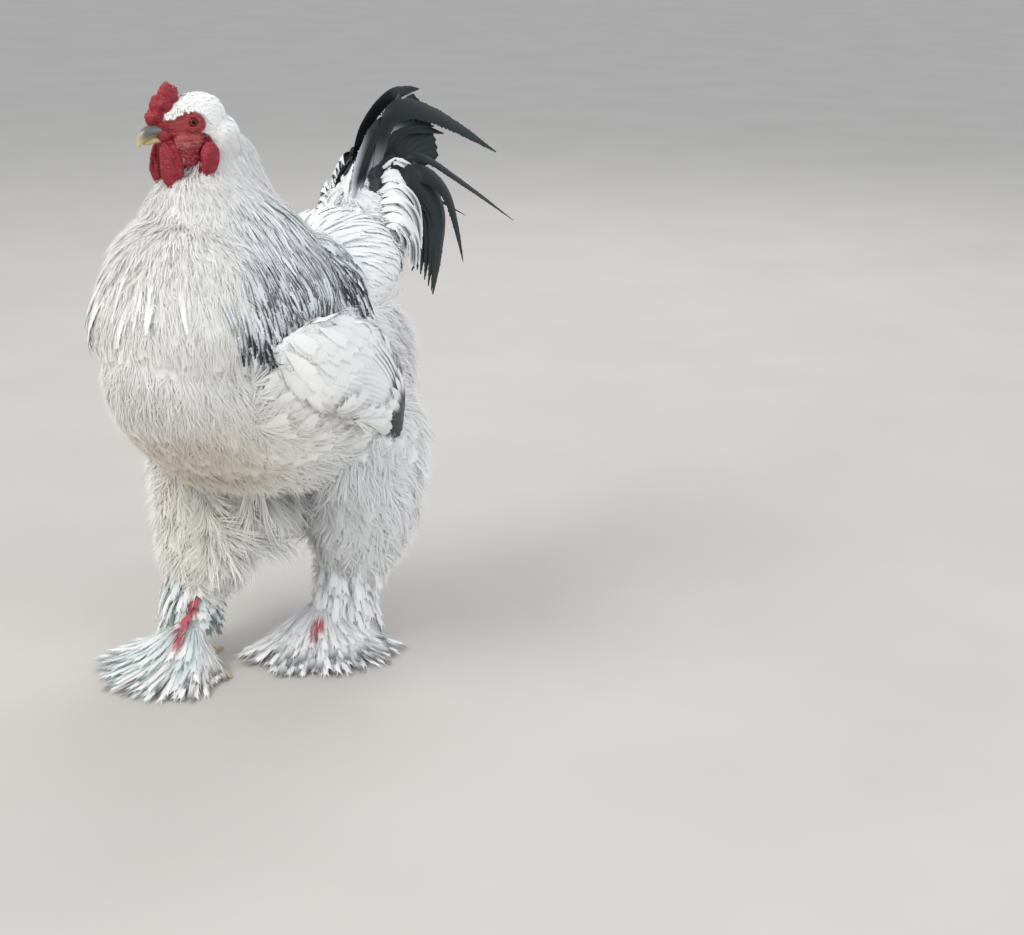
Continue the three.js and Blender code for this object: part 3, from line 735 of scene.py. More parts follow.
def comb_parts():
    """The comb's lumps, with small ones over them."""
    draw = np.random.default_rng(3)
    parts = [ball(at, radius * 0.93, stretch) for at, radius, stretch in LUMPS]
    for at, radius, stretch in LUMPS:
        for _ in range(7):
            way = unit(draw.normal(0, 1, 3) + np.array([0, -0.5, 0.25]))
            middle = np.array(at) + way * radius * 0.66 * np.array(stretch)
            parts.append(ball(middle, radius * draw.uniform(0.38, 0.52), around=12, along=8))
    return parts


def wattle(s):
    folds = lambda t, a: 0.9 * np.sin(5 * a + 6 * t) * np.sin(np.pi * t) + 0.5 * np.sin(11 * a - 9 * t)
    form = Form(
        [[s * 8, -34, -20], [s * 15, -30, -38], [s * 17, -27, -60], [s * 14, -24, -85]],
        [[3, 9], [5, 13], [5.5, 14.5], [3, 7]],
        in_head=True,
    )
    return form.shell(lift=folds, around=40, along=34)


def earlobe(s):
    folds = lambda t, a: 0.7 * np.sin(4 * a + 8 * t) * np.sin(np.pi * t)
    form = Form(
        [[s * 27, 17, -20], [s * 31, 17, -34], [s * 32, 15, -50], [s * 28, 12, -64]],
        [[4, 8], [6, 12], [6, 11], [4, 6]],
        in_head=True,
    )
    return form.shell(lift=folds, around=32, along=26)


def ring(at, way, radius, thick, upper, around=36, tube=12):
    """A lid round the eye: a closed ring, thicker above."""
    way = unit(np.array(way, float))
    side = unit(np.cross(way, [0, 0, 1.0]))
    up = np.cross(side, way)
    corners, faces = [], []
    for i in range(around):
        a = 2 * math.pi * i / around
        out = math.cos(a) * side + math.sin(a) * up
        r = thick * (1 + upper * max(0.0, math.sin(a)))
        for j in range(tube):
            b = 2 * math.pi * j / tube
            corners.append(np.array(at) + out * (radius + r * math.cos(b)) + way * r * math.sin(b))
    for i in range(around):
        for j in range(tube):
            n, m = (i + 1) % around, (j + 1) % tube
            faces.append((i * tube + j, n * tube + j, n * tube + m, i * tube + m))
    return head_point(np.array(corners)), faces


EYE_WAY = {s: unit(np.array([s * 1.0, -0.22, 0.06])) for s in (-1, 1)}
EYE_AT = {s: np.array(EYE["at"], float) * [s, 1, 1] for s in (-1, 1)}
head_parts = [SKULL.shell(2.0, around=40, along=30), JAW.shell(2.5, around=36, along=26)]
head_parts += comb_parts()
head_parts += [deep(CAPE, 4, 11), NAPE]
for s in (-1, 1):
    head_parts += [wattle(s), earlobe(s)]
    at = EYE_AT[s] + EYE_WAY[s] * 4.6
    head_parts.append(ring(at, EYE_WAY[s], 7.0, 1.9, 0.35))
    head_parts.append(ring(at - EYE_WAY[s] * 1.4, EYE_WAY[s], 10.2, 1.7, 0.2))
    head_parts.append(ball((s * 13, -2, -21), 17, (0.75, 1.25, 1.15)))
    head_parts.append(ball((s * 8, -33, -12), 8, (0.8, 1.0, 0.9)))
    head_parts.append(ball((s * 19, -4, 16), 7, (0.6, 1.9, 0.55)))


def cut_below(skin, level):
    """Leaves the part of a skin above a height."""
    points, polygons = skin
    kept = [f for f in polygons if min(points[i][2] for i in f) > level * MM]
    used = sorted({i for f in kept for i in f})
    new = {old: k for k, old in enumerate(used)}
    return points[used], [tuple(new[i] for i in f) for f in kept]


head_skin = cut_below(remeshed(head_parts, 0.9, smooth=2), 560)


def bare_tree():
    """The comb, wattles and earlobes, to find what lies close to them."""
    parts = comb_parts()
    for s in (-1, 1):
        parts += [wattle(s), earlobe(s)]
    corners, faces = joined(parts)
    return BVHTree.FromPolygons([tuple(p) for p in corners], faces)


BARE = bare_tree()


def off_bare(p):
    """How far points of the head's own frame lie from the comb, wattles and earlobes, up to 8 mm."""
    found = [BARE.find_nearest(Vector(q), 8.0)[3] for q in head_point(p)]
    return np.array([8.0 if far is None else far for far in found])


def face_mask(p):
    """How bare and red the skin is at points of the head's own frame: 1 on the face, 0 under feathers."""
    y, z = p[..., 1], p[..., 2]
    eye_patch = 1 - step(0.86, 1.06, np.hypot((y + 5) / 22, (z - 1.5) / 16.5))
    cheek = step(-50, -44, y) * (1 - step(24, 30, y - 0.12 * z)) * (1 - step(-8, -3, z + 0.25 * y))
    cheek = cheek * step(-46, -38, z)
    lores = (1 - step(-14, -8, y)) * (1 - step(6, 12, z)) * step(-34, -28, z)
    throat = step(-16, -10, y) * (1 - step(20, 26, y)) * (1 - step(-34, -28, z)) * step(-64, -58, z)
    return np.clip(np.maximum.reduce([eye_patch, cheek, lores, throat, 1 - step(1.6, 3.2, off_bare(p))]), 0, 1)


def ridges(p):
    """How far points of the head's own frame lie from the bottom of a fold, from 0 up."""
    return abs(noise.noise(Vector((p[0] * 0.14, p[1] * 0.09, p[2] * 0.42))))


def wrinkled(points, polygons):
    """The head's skin with fine folds on its bare parts."""
    mesh = mesh_of("folds", points, polygons)
    normals = np.zeros(len(points) * 3)
    mesh.vertices.foreach_get("normal", normals)
    normals = normals.reshape(-1, 3)
    bpy.data.meshes.remove(mesh)
    local = local_head((points - SHIFT) / MM)
    mask = face_mask(local)
    lift = np.zeros(len(points))
    for i in np.where(mask > 0.05)[0]:
        x, y, z = local[i]
        fine = noise.noise(Vector((x * 0.7, y * 0.7, z * 0.9)))
        lift[i] = 0.9 * (0.35 - ridges(local[i])) * 1.6 + 0.28 * fine
    return points + normals * (lift * mask * MM)[:, None], polygons


head_skin = wrinkled(*head_skin)
skin_points, skin_faces = joined([body_skin, foot_skin, head_skin])
SKIN = Surface(skin_points, skin_faces)

RED = np.array([0.31, 0.007, 0.020])
PINK = np.array([0.46, 0.10, 0.09])
UNDER = np.array([0.88, 0.87, 0.85])
TOE = np.array([0.58, 0.44, 0.30])
CREASE = np.array([0.60, 0.30, 0.30])


def skin_tint(points):
    bird = (points - SHIFT) / MM
    local = local_head(bird)
    mask = face_mask(local) * step(590, 600, bird[:, 2])
    pale = step(0.35, 0.75, np.array([noise.noise(Vector(p * [0.06, 0.06, 0.3])) for p in local]) * 0.5 + 0.5)
    around_eye = 1 - step(0.6, 1.25, np.hypot((local[:, 1] + 6) / 24, (local[:, 2] + 9) / 20))
    red = blend(RED, PINK, np.clip(0.15 * pale + (0.3 + 0.4 * pale) * around_eye * (local[:, 2] < 16), 0, 1))
    folds = np.array([ridges(p) for p in local])
    cheek = step(-30, -22, local[:, 1]) * (1 - step(10, 18, local[:, 1])) * step(-58, -50, local[:, 2])
    crease = (1 - step(0.03, 0.12, folds)) * step(1.2, 3.0, off_bare(local)) * cheek
    red = blend(red, CREASE, 0.5 * crease * (1 - step(-22, -14, local[:, 2])))
    colour = blend(UNDER, red, mask)
    return blend(colour, TOE, 1 - step(60, 90, bird[:, 2]))


def smooth_piece(name, points, faces, colours, material, slot, *nodes):
    """A smooth piece in its own colours, from corners in metres."""
    mesh = mesh_of(name, points, faces)
    tinted(mesh, colours)
    mesh.polygons.foreach_set("use_smooth", np.ones(len(mesh.polygons), bool))
    mesh.materials.append(material)
    placed(name, mesh, slot, *nodes)


flesh = ["torso", "neck", "head", "comb", "tail"]
for side in SIDES:
    flesh += [f"{n}_{side}" for n in ("thigh", "shank", "foot", "wing", "wattle", "earlobe")]
smooth_piece("skin", skin_points, skin_faces, skin_tint(skin_points), skin_material(), "comb_skin", *flesh)

# The coat's colours
WHITE = np.array([0.90, 0.90, 0.89])
COOL = np.array([0.78, 0.81, 0.86])
# Painted shade for the white plumage: a warm cream over the front and low body, and a tan under the belly.
CREAM_SHADE = np.array([0.88, 0.83, 0.72])
TAN_SHADE = np.array([0.56, 0.43, 0.27])
SLATE = np.array([0.23, 0.26, 0.31])
BLACK = np.array([0.010, 0.012, 0.014])
# A painted green sheen for the black feathers, set in their colour.
GREEN_SHEEN = np.array([0.008, 0.020, 0.022])
TEAL = np.array([0.28, 0.50, 0.50])


def white_at(path, u, dice, shade_share=1.0):
    """The white of the plumage, whiter on the back, with painted warm shade in front and low down, painted tan shade
    under the belly and painted shade at each feather's root. No two feathers match.
    """
    mid = path[:, 2]
    x, y, z = mid[:, 0:1], mid[:, 1:2], mid[:, 2:3]
    front = 1 - step(-150, 40, y)
    low = 1 - step(250, 400, z)
    # Painted warm shade over the front, strongest low down.
    tone = blend(WHITE, CREAM_SHADE, 0.8 * shade_share * front * (0.35 + 0.65 * low))
    # Painted tan shade under the belly.
    belly_shade = shade_share * (1 - step(300, 350, z)) * step(225, 260, z) * (1 - step(-110, -40, y))
    belly_shade = belly_shade * (1 - step(60, 120, np.abs(x)))
    tone = blend(tone, TAN_SHADE, 0.5 * belly_shade * (1 - 0.45 * u))
    tone = tone * (0.95 + 0.06 * dice[..., None])
    # Painted shade: each feather a little darker at its root, where the feathers over it shade it.
    return tone * (0.93 + 0.07 * step(0.1, 0.55, u))[..., None]


def plain_white(u, v, path, dice, w):
    return white_at(path, u, dice)


def neck_side(path):
    """How far round the neck from its front a hackle's tip lies, in degrees, and its height."""
    tip = path[:, -1]
    around = np.degrees(np.arctan2(np.abs(tip[:, 0:1]), -(tip[:, 1:2] + 48)))
    return around, tip[:, 2:3]


def hackle_colour(u, v, path, dice, w):
    around, height = neck_side(path)
    side = step(28, 52, around + 22 * (dice - 0.5))
    low = 1 - step(430, 560, height)
    white = white_at(path, u, dice, 0.5)
    ground = blend(white, SLATE * 2.4, side * step(0.15, 0.6, u) * (0.14 + 0.2 * low))
    edge = np.abs(v)
    broad = 0.12 + (0.16 + 0.22 * u) * low + 0.08 * dice
    streak = (1 - step(broad * 0.7, broad + 0.06, edge)) * step(0.2, 0.5, u)
    strong = side * (0.45 + 0.55 * low) * step(0.08, 0.3, dice) * (1 - step(560, 610, height))
    colour = blend(ground, BLACK * 1.8, streak * np.clip(strong + 0.3 * (dice > 0.86), 0, 1))
    rim = step(0.6, 0.85, edge) * side * step(0.3, 0.6, u)
    return blend(colour, WHITE, 0.85 * rim)


def laced(u, v, path, dice, w):
    """White at the root, then black with a white edge."""
    rim = np.maximum(step(0.5, 0.72, np.abs(v)), step(0.9, 0.99, u))
    white = np.maximum(rim, 1 - step(0.16 + 0.5 * dice, 0.4 + 0.5 * dice, u))
    # The black carries a painted green sheen.
    return blend(blend(GREEN_SHEEN * 1.2, SLATE, 0.3 * (1 - u)), WHITE * 0.95, white)


def black_vane(u, v, path, dice, w):
    # Black with a painted green sheen, stronger towards the tip and on some feathers than on others.
    tone = blend(BLACK, GREEN_SHEEN, step(0.2, 0.9, u) * (0.4 + 0.6 * dice))
    root = 1 - step(0.02, 0.2, u)
    return blend(tone, COOL * 0.8, root * 0.7)


def streaked(u, v, path, dice, w):
    """Black, with grey and white along one edge up to the middle."""
    pale = step(0.1, 0.5, v * np.sign(dice - 0.5)) * (1 - step(0.3 + 0.3 * dice, 0.6 + 0.3 * dice, u))
    return blend(black_vane(u, v, path, dice, w), COOL * 0.9, 0.85 * pale)


def black_fill(u, v, path, dice, w):
    return blend(BLACK * 1.6, SLATE * 0.5, 0.5 * dice * (1 - u))


def saddle_colour(u, v, path, dice, w):
    tip = path[:, -1]
    last = step(205, 250, tip[:, 1:2] + 30 * (dice - 0.5)) * (1 - step(470, 520, tip[:, 2:3]))
    white = white_at(path, u, dice, 0.3)
    streak = (1 - step(0.35, 0.6, np.abs(v))) * step(0.45, 0.7, u)
    return blend(white, BLACK * 1.5, streak * last)


FEATHER = feather_material("feather", 0.75, 0.25)
GLOSS = feather_material("glossy_feather", 0.42, 0.02, 0.32)


def coat_over(coat, form, spacing, long, wide, lie, shapes, colour, inset, heights, seed, keep=None,
              t_range=(0.0, 1.0), squash=1.0, far=7.0, **values):
    """Rows of feathers over a form, where the skin lies near it and keep says so."""
    t, angle = rows_on(form, spacing, inset, t_range, seed, squash)
    start = form.wall(t, angle, -inset, form.close(t))
    _, normal, distance = SKIN.nearest(start)
    chosen = distance < far
    if keep is not None:
        chosen &= keep(start, normal)
    place = cells(t[chosen], angle[chosen])
    lay(coat, start[chosen], place, long, wide, lie, shapes, colour, heights, seed, **values)


def lay(coat, start, place, long, wide, lie, shapes, colour, heights, seed, cup=0.1, spread=0.3, soft=0.25,
        puff=0.0, vary=0.15):
    """Feathers from given roots over the skin. Lengths, widths, the tips' height and the coat's puff
    are each a number or a function of the roots."""
    draw = np.random.default_rng(seed + 500)
    count = len(start)
    at_roots = lambda value: value(start) if callable(value) else np.full(count, float(value))
    lengths = at_roots(long) * draw.uniform(1 - vary, 1 + vary, count)
    widths = at_roots(wide) * draw.uniform(0.85, 1.15, count)
    swell = at_roots(puff) * np.array([noise.noise(Vector(p * 0.016)) + 0.5 for p in start])
    low = at_roots(heights[0]) + swell * 0.5
    high = at_roots(heights[1]) * draw.uniform(0.75, 1.2, count) + swell
    turn = draw.normal(0, spread, count)

    def turned(points, normals):
        way = lie(points, normals)
        across = np.cross(normals, way)
        return way + across * turn[:, None]

    path, normals = walk(SKIN, start, turned, lengths, (low, high))
    coat.add(path, normals, widths, shapes, colour, place, cup=cup, seed=seed + 1, soft=soft)


BODY_POINTS = (body_skin[0] - SHIFT) / MM
X, Y, Z = BODY_POINTS.T
HEAD_POINTS = (head_skin[0] - SHIFT) / MM


def within(p, s, low=-1e3, high=1e3):
    """Whether points lie on side s and between two heights."""
    return (p[:, 0] * s >= 0) & (p[:, 2] > low) & (p[:, 2] < high)


def scattered(points, gap, seed):
    """Of points on the skin, some about a gap apart, and their places on the unwrap."""
    draw = np.random.default_rng(seed)
    points = draw.permutation(points)
    _, first = np.unique(np.floor(points / gap).astype(int), axis=0, return_index=True)
    points = points[first]
    return points, cells(points[:, 2] / 720, np.arctan2(points[:, 1] - 20, points[:, 0]))


def on_path(path, u):
    """Where each corner lies along its feather's shaft."""
    stops = path.shape[1] - 1
    at = np.clip(u, 0, 1) * stops
    i = np.minimum(at.astype(int), stops - 1)
    rows = np.arange(len(path))[:, None]
    f = (at - i)[..., None]
    return path[rows, i] * (1 - f) + path[rows, i + 1] * f


def flow(x, y, z, outward=0.0):
    """A lie that is the same everywhere, with a part that points away from the middle plane."""
    def lie(points, normals):
        way = np.broadcast_to(np.array([x, y, z], float), points.shape).copy()
        way[:, 0] += outward * np.clip(points[:, 0] / 80, -1, 1)
        return way
    return lie


# Breast, flanks and belly
def body_lie(points, normals):
    """Down in front, down and back along the flanks."""
    along_flank = step(-195, -80, points[:, 1])
    outward = 0.1 * np.clip(points[:, 0] / 80, -1, 1)
    return np.stack([outward, 0.1 + 0.7 * along_flank, -1 + 0.4 * along_flank], -1)


def collar(p):
    """1 at the top of the breast, where the neck's feathers hang over it."""
    return step(340, 425, p[:, 2]) * step(-50, -130, p[:, 1])


def body_puff(p):
    return 6 * (1 - 0.7 * collar(p))


for side, s in SIDES.items():
    coat = Coat(f"coat_body_{side}", FEATHER, "plumage")
    front = lambda p, n: within(p, s, 270) & (p[:, 1] < 120)
    coat_over(coat, BODY, 10.5, 46, 13, body_lie, BODY_FEATHER, plain_white, BODY_DEPTH,
              (-4, lambda p: 6 - 5 * collar(p)), 10 + s, front, cup=0.1, spread=0.2, puff=body_puff)
    coat_over(coat, BODY, 7.6, 32, 10, body_lie, WISP, plain_white, BODY_DEPTH,
              (-2, lambda p: 10 - 3 * collar(p)), 12 + s, front, cup=0.05, spread=0.4, soft=0.2, puff=body_puff)
    coat.made()
    coat = Coat(f"coat_breast_{side}", FEATHER, "plumage")
    breast_lie = flow(0, 0.5, -1.0, 0.1)
    coat_over(coat, CAPE, 11, 46, 13, breast_lie, BODY_FEATHER, plain_white, 16, (-4, 4), 14 + s,
              lambda p, n: within(p, s, high=500), t_range=(0.3, 1.0), far=30, cup=0.1, spread=0.2)
    coat_over(coat, CAPE, 8, 32, 10, breast_lie, WISP, plain_white, 16, (-3, 7), 16 + s,
              lambda p, n: within(p, s, high=450), t_range=(0.3, 1.0), far=30, cup=0.05, spread=0.4, soft=0.2)
    coat.made()
    coat = Coat(f"coat_fluff_{side}", FEATHER, "plumage")
    rear = lambda p, n: within(p, s) & ((p[:, 1] >= 90) | (p[:, 2] <= 290))
    coat_over(coat, BODY, 12, 50, 13, flow(0, 0.7, -0.5, 0.2), DOWN_FEATHER, plain_white, BODY_DEPTH,
              (-4, 9), 20 + s, rear, cup=0.2, spread=0.3, soft=0.5)
    coat_over(coat, BODY, 8.6, lambda p: 52 + 22 * step(130, 190, p[:, 1]), 12, flow(0, 0.75, -0.6, 0.3), WISP,
              plain_white, BODY_DEPTH, (-4, lambda p: 16 + 22 * step(120, 190, p[:, 1])), 24 + s, rear,
              cup=0.1, spread=0.45, soft=0.5, puff=5)
    under = (X * s >= 0) & (np.abs(X) < 44) & (Y > -50) & (Y < 130) & (Z < 240) & (Z > 150)
    for layer, (gap, drop) in enumerate(((8, 46), (9, 74))):
        roots, place = scattered(BODY_POINTS[under], gap, 27 + s + layer)
        lay(coat, roots, place, 34, 12, flow(0, 0.4, -0.6, 0.2), WISP, plain_white, (-4, drop), 28 + s + 5 * layer,
            spread=0.9)
    edge = 334 - 0.45 * (Y + 20)
    flank = (X * s > 96) & (Y > -130) & (Y < 92) & (Z < edge + 8) & (Z > edge - 42)
    roots, place = scattered(BODY_POINTS[flank], 7.5, 35 + s)
    lay(coat, roots, place, 44, 12, flow(0, 0.9, 0.35, 0.4), WISP, plain_white, (-3, 22), 36 + s, spread=0.5)
    roots, place = scattered(BODY_POINTS[flank], 11, 38 + s)
    lay(coat, roots, place, 46, 12, flow(0, 0.9, 0.3, 0.3), DOWN_FEATHER, plain_white, (-3, 17), 39 + s, spread=0.4)
    coat.made()

# Saddle and back
coat = Coat("coat_saddle", FEATHER, "plumage")
coat_over(coat, SADDLE, 7.5, 80, 5, flow(0, 0.95, -0.35, 0.55), HACKLE, saddle_colour, SADDLE_DEPTH, (-3, 6), 31,
          lambda p, n: (p[:, 2] > 400) & (n[:, 2] > -0.35), t_range=(0.02, 0.99), spread=0.12)
coat_over(coat, TAIL_ROOT, 7, 36, 5, flow(0, 0.7, -0.3, 0.8), HACKLE, saddle_colour, 3, (-4, 6), 33,
          lambda p, n: p[:, 1] < 240, t_range=(0.02, 0.5), cup=0.15, spread=0.14)
roots, place = scattered(BODY_POINTS[(Y > 196) & (Z > 486) & (Z < 560)], 8.5, 34)
lay(coat, roots, place, 42, 11, flow(0, 0.6, -0.8, 0.4), DOWN_FEATHER, plain_white, (-2, 12), 37, spread=0.3)
lay(coat, roots, place, 40, 11, flow(0, 0.6, -0.8, 0.4), WISP, plain_white, (-2, 18), 38, spread=0.5)
coat.made()

# Hackles
front_lie = flow(0, 0.1, -1.0, 0.12)


def frontal(p):
    """1 at the front of the neck, 0 at its sides; the white front lies a little to the left."""
    around = np.degrees(np.arctan2(p[:, 0], -(p[:, 1] + 48))) - 9
    return 1 - step(20, 68, np.abs(around))


def hackle_long(p):
    return np.minimum(44 + 74 * (1 - step(470, 640, p[:, 2])), (p[:, 2] - 398 - 30 * frontal(p)) * 1.02)


def hackle_rise(p):
    return 7 + 6 * (1 - step(480, 540, p[:, 2])) - 4 * step(605, 655, p[:, 2])


def speckle(p):
    """A value between -1 and 1 that differs from one feather's root to the next."""
    return np.array([noise.noise(Vector(q * 0.31)) for q in p])


def hackle_wide(p):
    return 2.8 + 2.5 * (1 - step(450, 620, p[:, 2]))


for side, s in SIDES.items():
    coat = Coat(f"hackles_{side}", FEATHER, "plumage")
    coat_over(coat, CAPE, 11, 40, 11, front_lie, BODY_FEATHER, plain_white, 12, (-4, 1), 44 + s,
              lambda p, n: within(p, s, 470, 650), t_range=(0.02, 0.93), far=40, cup=0.05, spread=0.1, soft=0.1)
    coat_over(coat, CAPE, 6.2, hackle_long, hackle_wide, front_lie, HACKLE, hackle_colour, 14, (-4, hackle_rise),
              40 + s, lambda p, n: within(p, s, 478, 660) & (frontal(p) < 0.72 + 0.5 * speckle(p)),
              t_range=(0.02, 0.93), far=40, squash=0.85, cup=0.12, spread=0.09, soft=0.2, vary=0.24)
    coat_over(coat, CAPE, 7, lambda p: 34 + 20 * (1 - step(415, 500, p[:, 2])), 8, front_lie, WISP, plain_white,
              14, (-1, lambda p: 8 + 5 * (1 - step(415, 480, p[:, 2]))), 47 + s,
              lambda p, n: within(p, s, 380, 642) & (frontal(p) > 0.5),
              t_range=(0.02, 0.97), far=40, cup=0.05, spread=0.25, soft=0.1, vary=0.25)
    coat.made()

# Head and throat
coat = Coat("coat_head", FEATHER, "plumage")
head_turn = math.radians(HEAD["yaw"])
head_back = np.array([-math.sin(head_turn), math.cos(head_turn), 0])


def head_lie(points, normals):
    local = local_head(points)
    way = np.broadcast_to(head_back, points.shape).copy()
    way[:, 2] -= 0.35 + 0.9 * step(10, 46, local[:, 1]) + 3 * step(-30, -52, local[:, 2])
    return way


def head_long(p):
    """Feathers stop short where the bare face lies behind their root."""
    way = unit(head_lie(p, None))
    ahead = np.maximum.reduce([face_mask(local_head(p + way * reach)) for reach in (3.5, 7, 10.5)])
    return 12 - 8 * step(0.15, 0.45, ahead)


covered = (HEAD_POINTS[:, 2] > 594) & (face_mask(local_head(HEAD_POINTS)) < 0.35)
for low, high, gap, long, wide, tip, shapes, vary in (
    (622, 720, 2.7, head_long, 2.0, 2.2, SMALL, 0.15),
    (590, 664, 4.6, 28, 5.5, 5.0, WISP, 0.45),
):
    band = covered & (HEAD_POINTS[:, 2] > low) & (HEAD_POINTS[:, 2] < high)
    roots, place = scattered(HEAD_POINTS[band], gap, 51)
    lay(coat, roots, place, long, wide, head_lie, shapes, plain_white, (-0.5, tip), 52 + low, cup=0.25,
        spread=0.15, vary=vary)
coat.made()

# Thighs
for side, s in SIDES.items():
    coat = Coat(f"coat_thigh_{side}", FEATHER, "plumage")
    coat_over(coat, thigh(s), 11.5, 50, 13, flow(0, 0.22, -1.0, 0.1), DOWN_FEATHER, plain_white, THIGH_DEPTH,
              (-5, 12), 60 + s, t_range=(0.02, 0.97), cup=0.2, soft=0.35, puff=5)
    coat_over(coat, thigh(s), 7.6, 48, 11, flow(0, 0.3, -1.0, 0.1), WISP, plain_white, THIGH_DEPTH,
              (-3, 24), 64 + s, t_range=(0.02, 0.99), spread=0.45, puff=5)
    coat.made()

# Wings: coverts over the shoulder, then the quills with black tips
def quill_colour(u, v, path, dice, w):
    at = on_path(path, u)
    black = step(84, 92, at[..., 1]) * (1 - step(326, 336, at[..., 2]))
    return blend(white_at(path, u, dice, 0.2), BLACK, black)


def tip_black(u, v, path, dice, w):
    return blend(white_at(path, u, dice, 0.2), BLACK, step(0.3, 0.5, u + 0.3 * dice))


def add_quills(coat, folded, t, a, lift, wide, colour, place, seed):
    """Vanes that lie on a folded wing, from places on its form and heights over it."""
    normal = unit(folded.wall(t, a, 1.0) - folded.wall(t, a, 0.0))
    coat.add(folded.wall(t, a, lift), normal, wide, VANE, colour, place, cup=0.15, roll=-s * 0.12, seed=seed)


for side, s in SIDES.items():
    coat = Coat(f"coat_wing_{side}", FEATHER, "plumage")
    folded = wing(s)
    coat_over(coat, folded, 10, 42, 12, flow(0, 0.85, -0.55), BODY_FEATHER, plain_white, 9, (0.5, 4.5), 70 + s,
              t_range=(0.0, 0.76), far=16, cup=0.12, spread=0.12, soft=0.2)
    count = 16
    k = np.linspace(0, 1, count)
    base = 0.0 if s > 0 else math.pi
    angle = base + s * np.radians(-54 + 100 * k)
    root_t, tip_t = 0.36 + 0.14 * k, 0.80 + 0.16 * np.sin(np.pi * (0.25 + 0.5 * k))
    u = np.linspace(0, 1, 5)
    t = root_t[:, None] + (tip_t - root_t)[:, None] * u
    a = base + (angle[:, None] - base) * (1 - 0.25 * u)
    lift = -4 + (2.0 + 0.25 * (count - np.arange(count)))[:, None] * u**0.5 + 3 * u
    add_quills(coat, folded, t, a, lift, 11.5, quill_colour, cells(root_t, angle), 75 + s)
    k = np.linspace(0, 1, 5)
    t = 0.66 + 0.34 * u[None, :] * (0.9 + 0.1 * np.sin(3 * k))[:, None]
    a = base + s * (0.5 - 0.9 * k)[:, None] * (1 - 0.3 * u)
    lift = 5 + 4 * u + (2 * k)[:, None]
    add_quills(coat, folded, t, a, lift, 8, tip_black, cells(t[:, 0], a[:, 0]), 78 + s)
    coat.made()


# Tail
def mirrored(s, points):
    p = np.array(points, float)
    p[:, 0] *= s
    return p


def between(ends, k):
    """A line part of the way from the outer line to the inner one."""
    return np.array(ends["outer"], float) * (1 - k) + np.array(ends["inner"], float) * k


def from_to(pair, k):
    return pair[0] + (pair[1] - pair[0]) * k


def add_vanes(coat, paths, faces, wide, shapes, colour, **values):
    """Feathers on lines of their own, each with the way its face looks."""
    path = np.array([through(p, np.linspace(0, 1, 7)) for p in paths])
    normal = np.array([np.broadcast_to(unit(np.array(f, float)), p.shape) for p, f in zip(path, faces)])
    place = cells(np.linspace(0.1, 0.9, len(path)), np.linspace(0.5, 5.5, len(path)))
    coat.add(path, normal, wide, shapes, colour, place, **values)


QUILLS = {"count": 8, "long": (150, 118), "wide": 14, "rise": (51, 24), "lean": (3, 16)}
FAR_SICKLE = [[-12, 226, 556], [-16, 256, 622], [-18, 318, 659], [-20, 392, 662]]
SICKLES = [
    ([[20, 232, 560], [36, 254, 645], [42, 338, 637], [46, 478, 573]], 15),
    ([[26, 250, 556], [50, 278, 592], [56, 360, 556], [40, 532, 471]], 6),
    ([[28, 244, 548], [60, 276, 572], [72, 322, 536], [74, 352, 446]], 13),
]
HANGING = {
    "count": 12,
    "outer": [[26, 240, 556], [54, 262, 580], [64, 318, 520], [60, 300, 412]],
    "inner": [[28, 228, 540], [62, 244, 548], [78, 272, 500], [76, 262, 420]],
}
tail = Coat("tail_feathers", GLOSS, "tail_feathers")
for s in (-1, 1):
    paths, faces = [], []
    for i in range(QUILLS["count"]):
        k = i / (QUILLS["count"] - 1)
        up, out = math.radians(from_to(QUILLS["rise"], k)), math.radians(from_to(QUILLS["lean"], k))

        def reach(r, sag):
            ahead = 244 + r * math.cos(up) * math.cos(out)
            return [s * (5 + r * math.sin(out)), ahead, 552 + r * math.sin(up) - sag]

        long = from_to(QUILLS["long"], k)
        paths.append([reach(8, 0), reach(long * 0.4, 0), reach(long * 0.75, 3), reach(long, 10)])
        faces.append([s * math.cos(out), 0, 0.35])
    add_vanes(tail, paths, faces, QUILLS["wide"], VANE, black_vane, cup=0.2, roll=0.0, seed=80 + s)
    for k, (path, wide) in enumerate(SICKLES):
        line = FAR_SICKLE if s < 0 and k == 0 else mirrored(s, path)
        add_vanes(tail, [line], [[s, 0, 0.3]], wide, BLADE, black_vane, cup=0.25, roll=0.0, seed=85 + s + 3 * k)
    if s > 0:
        # The tail's front edge, under the main sickle
        paths = [
            [[15 + 2 * k, 196 + 14 * k, 548], [22, 204 + 15 * k, 588], [29, 236 + 18 * k, 634 - 3 * k],
             [36, 300 + 22 * k, 646 - 12 * k]]
            for k in range(4)
        ]
        add_vanes(tail, paths, [[s, 0, 0.3]] * 4, 12, BLADE, streaked, cup=0.2, roll=0.0, seed=92)
    # The hanging sickles at the tail's sides
    paths, faces = [], []
    for i in range(HANGING["count"]):
        k = i / (HANGING["count"] - 1)
        line = between(HANGING, k)
        line = line[0] + (line - line[0]) * (1 - 0.3 * k + 0.06 * math.sin(7 * k))
        line[3, 1] += 4 * math.sin(4.4 * k)
        paths.append(mirrored(s, line))
        faces.append([s, 0.1, 0.4])
    add_vanes(tail, paths, faces, 18, BLADE, black_vane, cup=0.3, roll=0.0, seed=95 + s)
roots, place = scattered(BODY_POINTS[(Y > 214) & (Z > 520)], 7, 34)
lay(tail, roots, place, 40, 8, flow(0, 0.5, 0.9, 0.2), BODY_FEATHER, black_fill, (-1, 7), 88, spread=0.3)
tail.made()

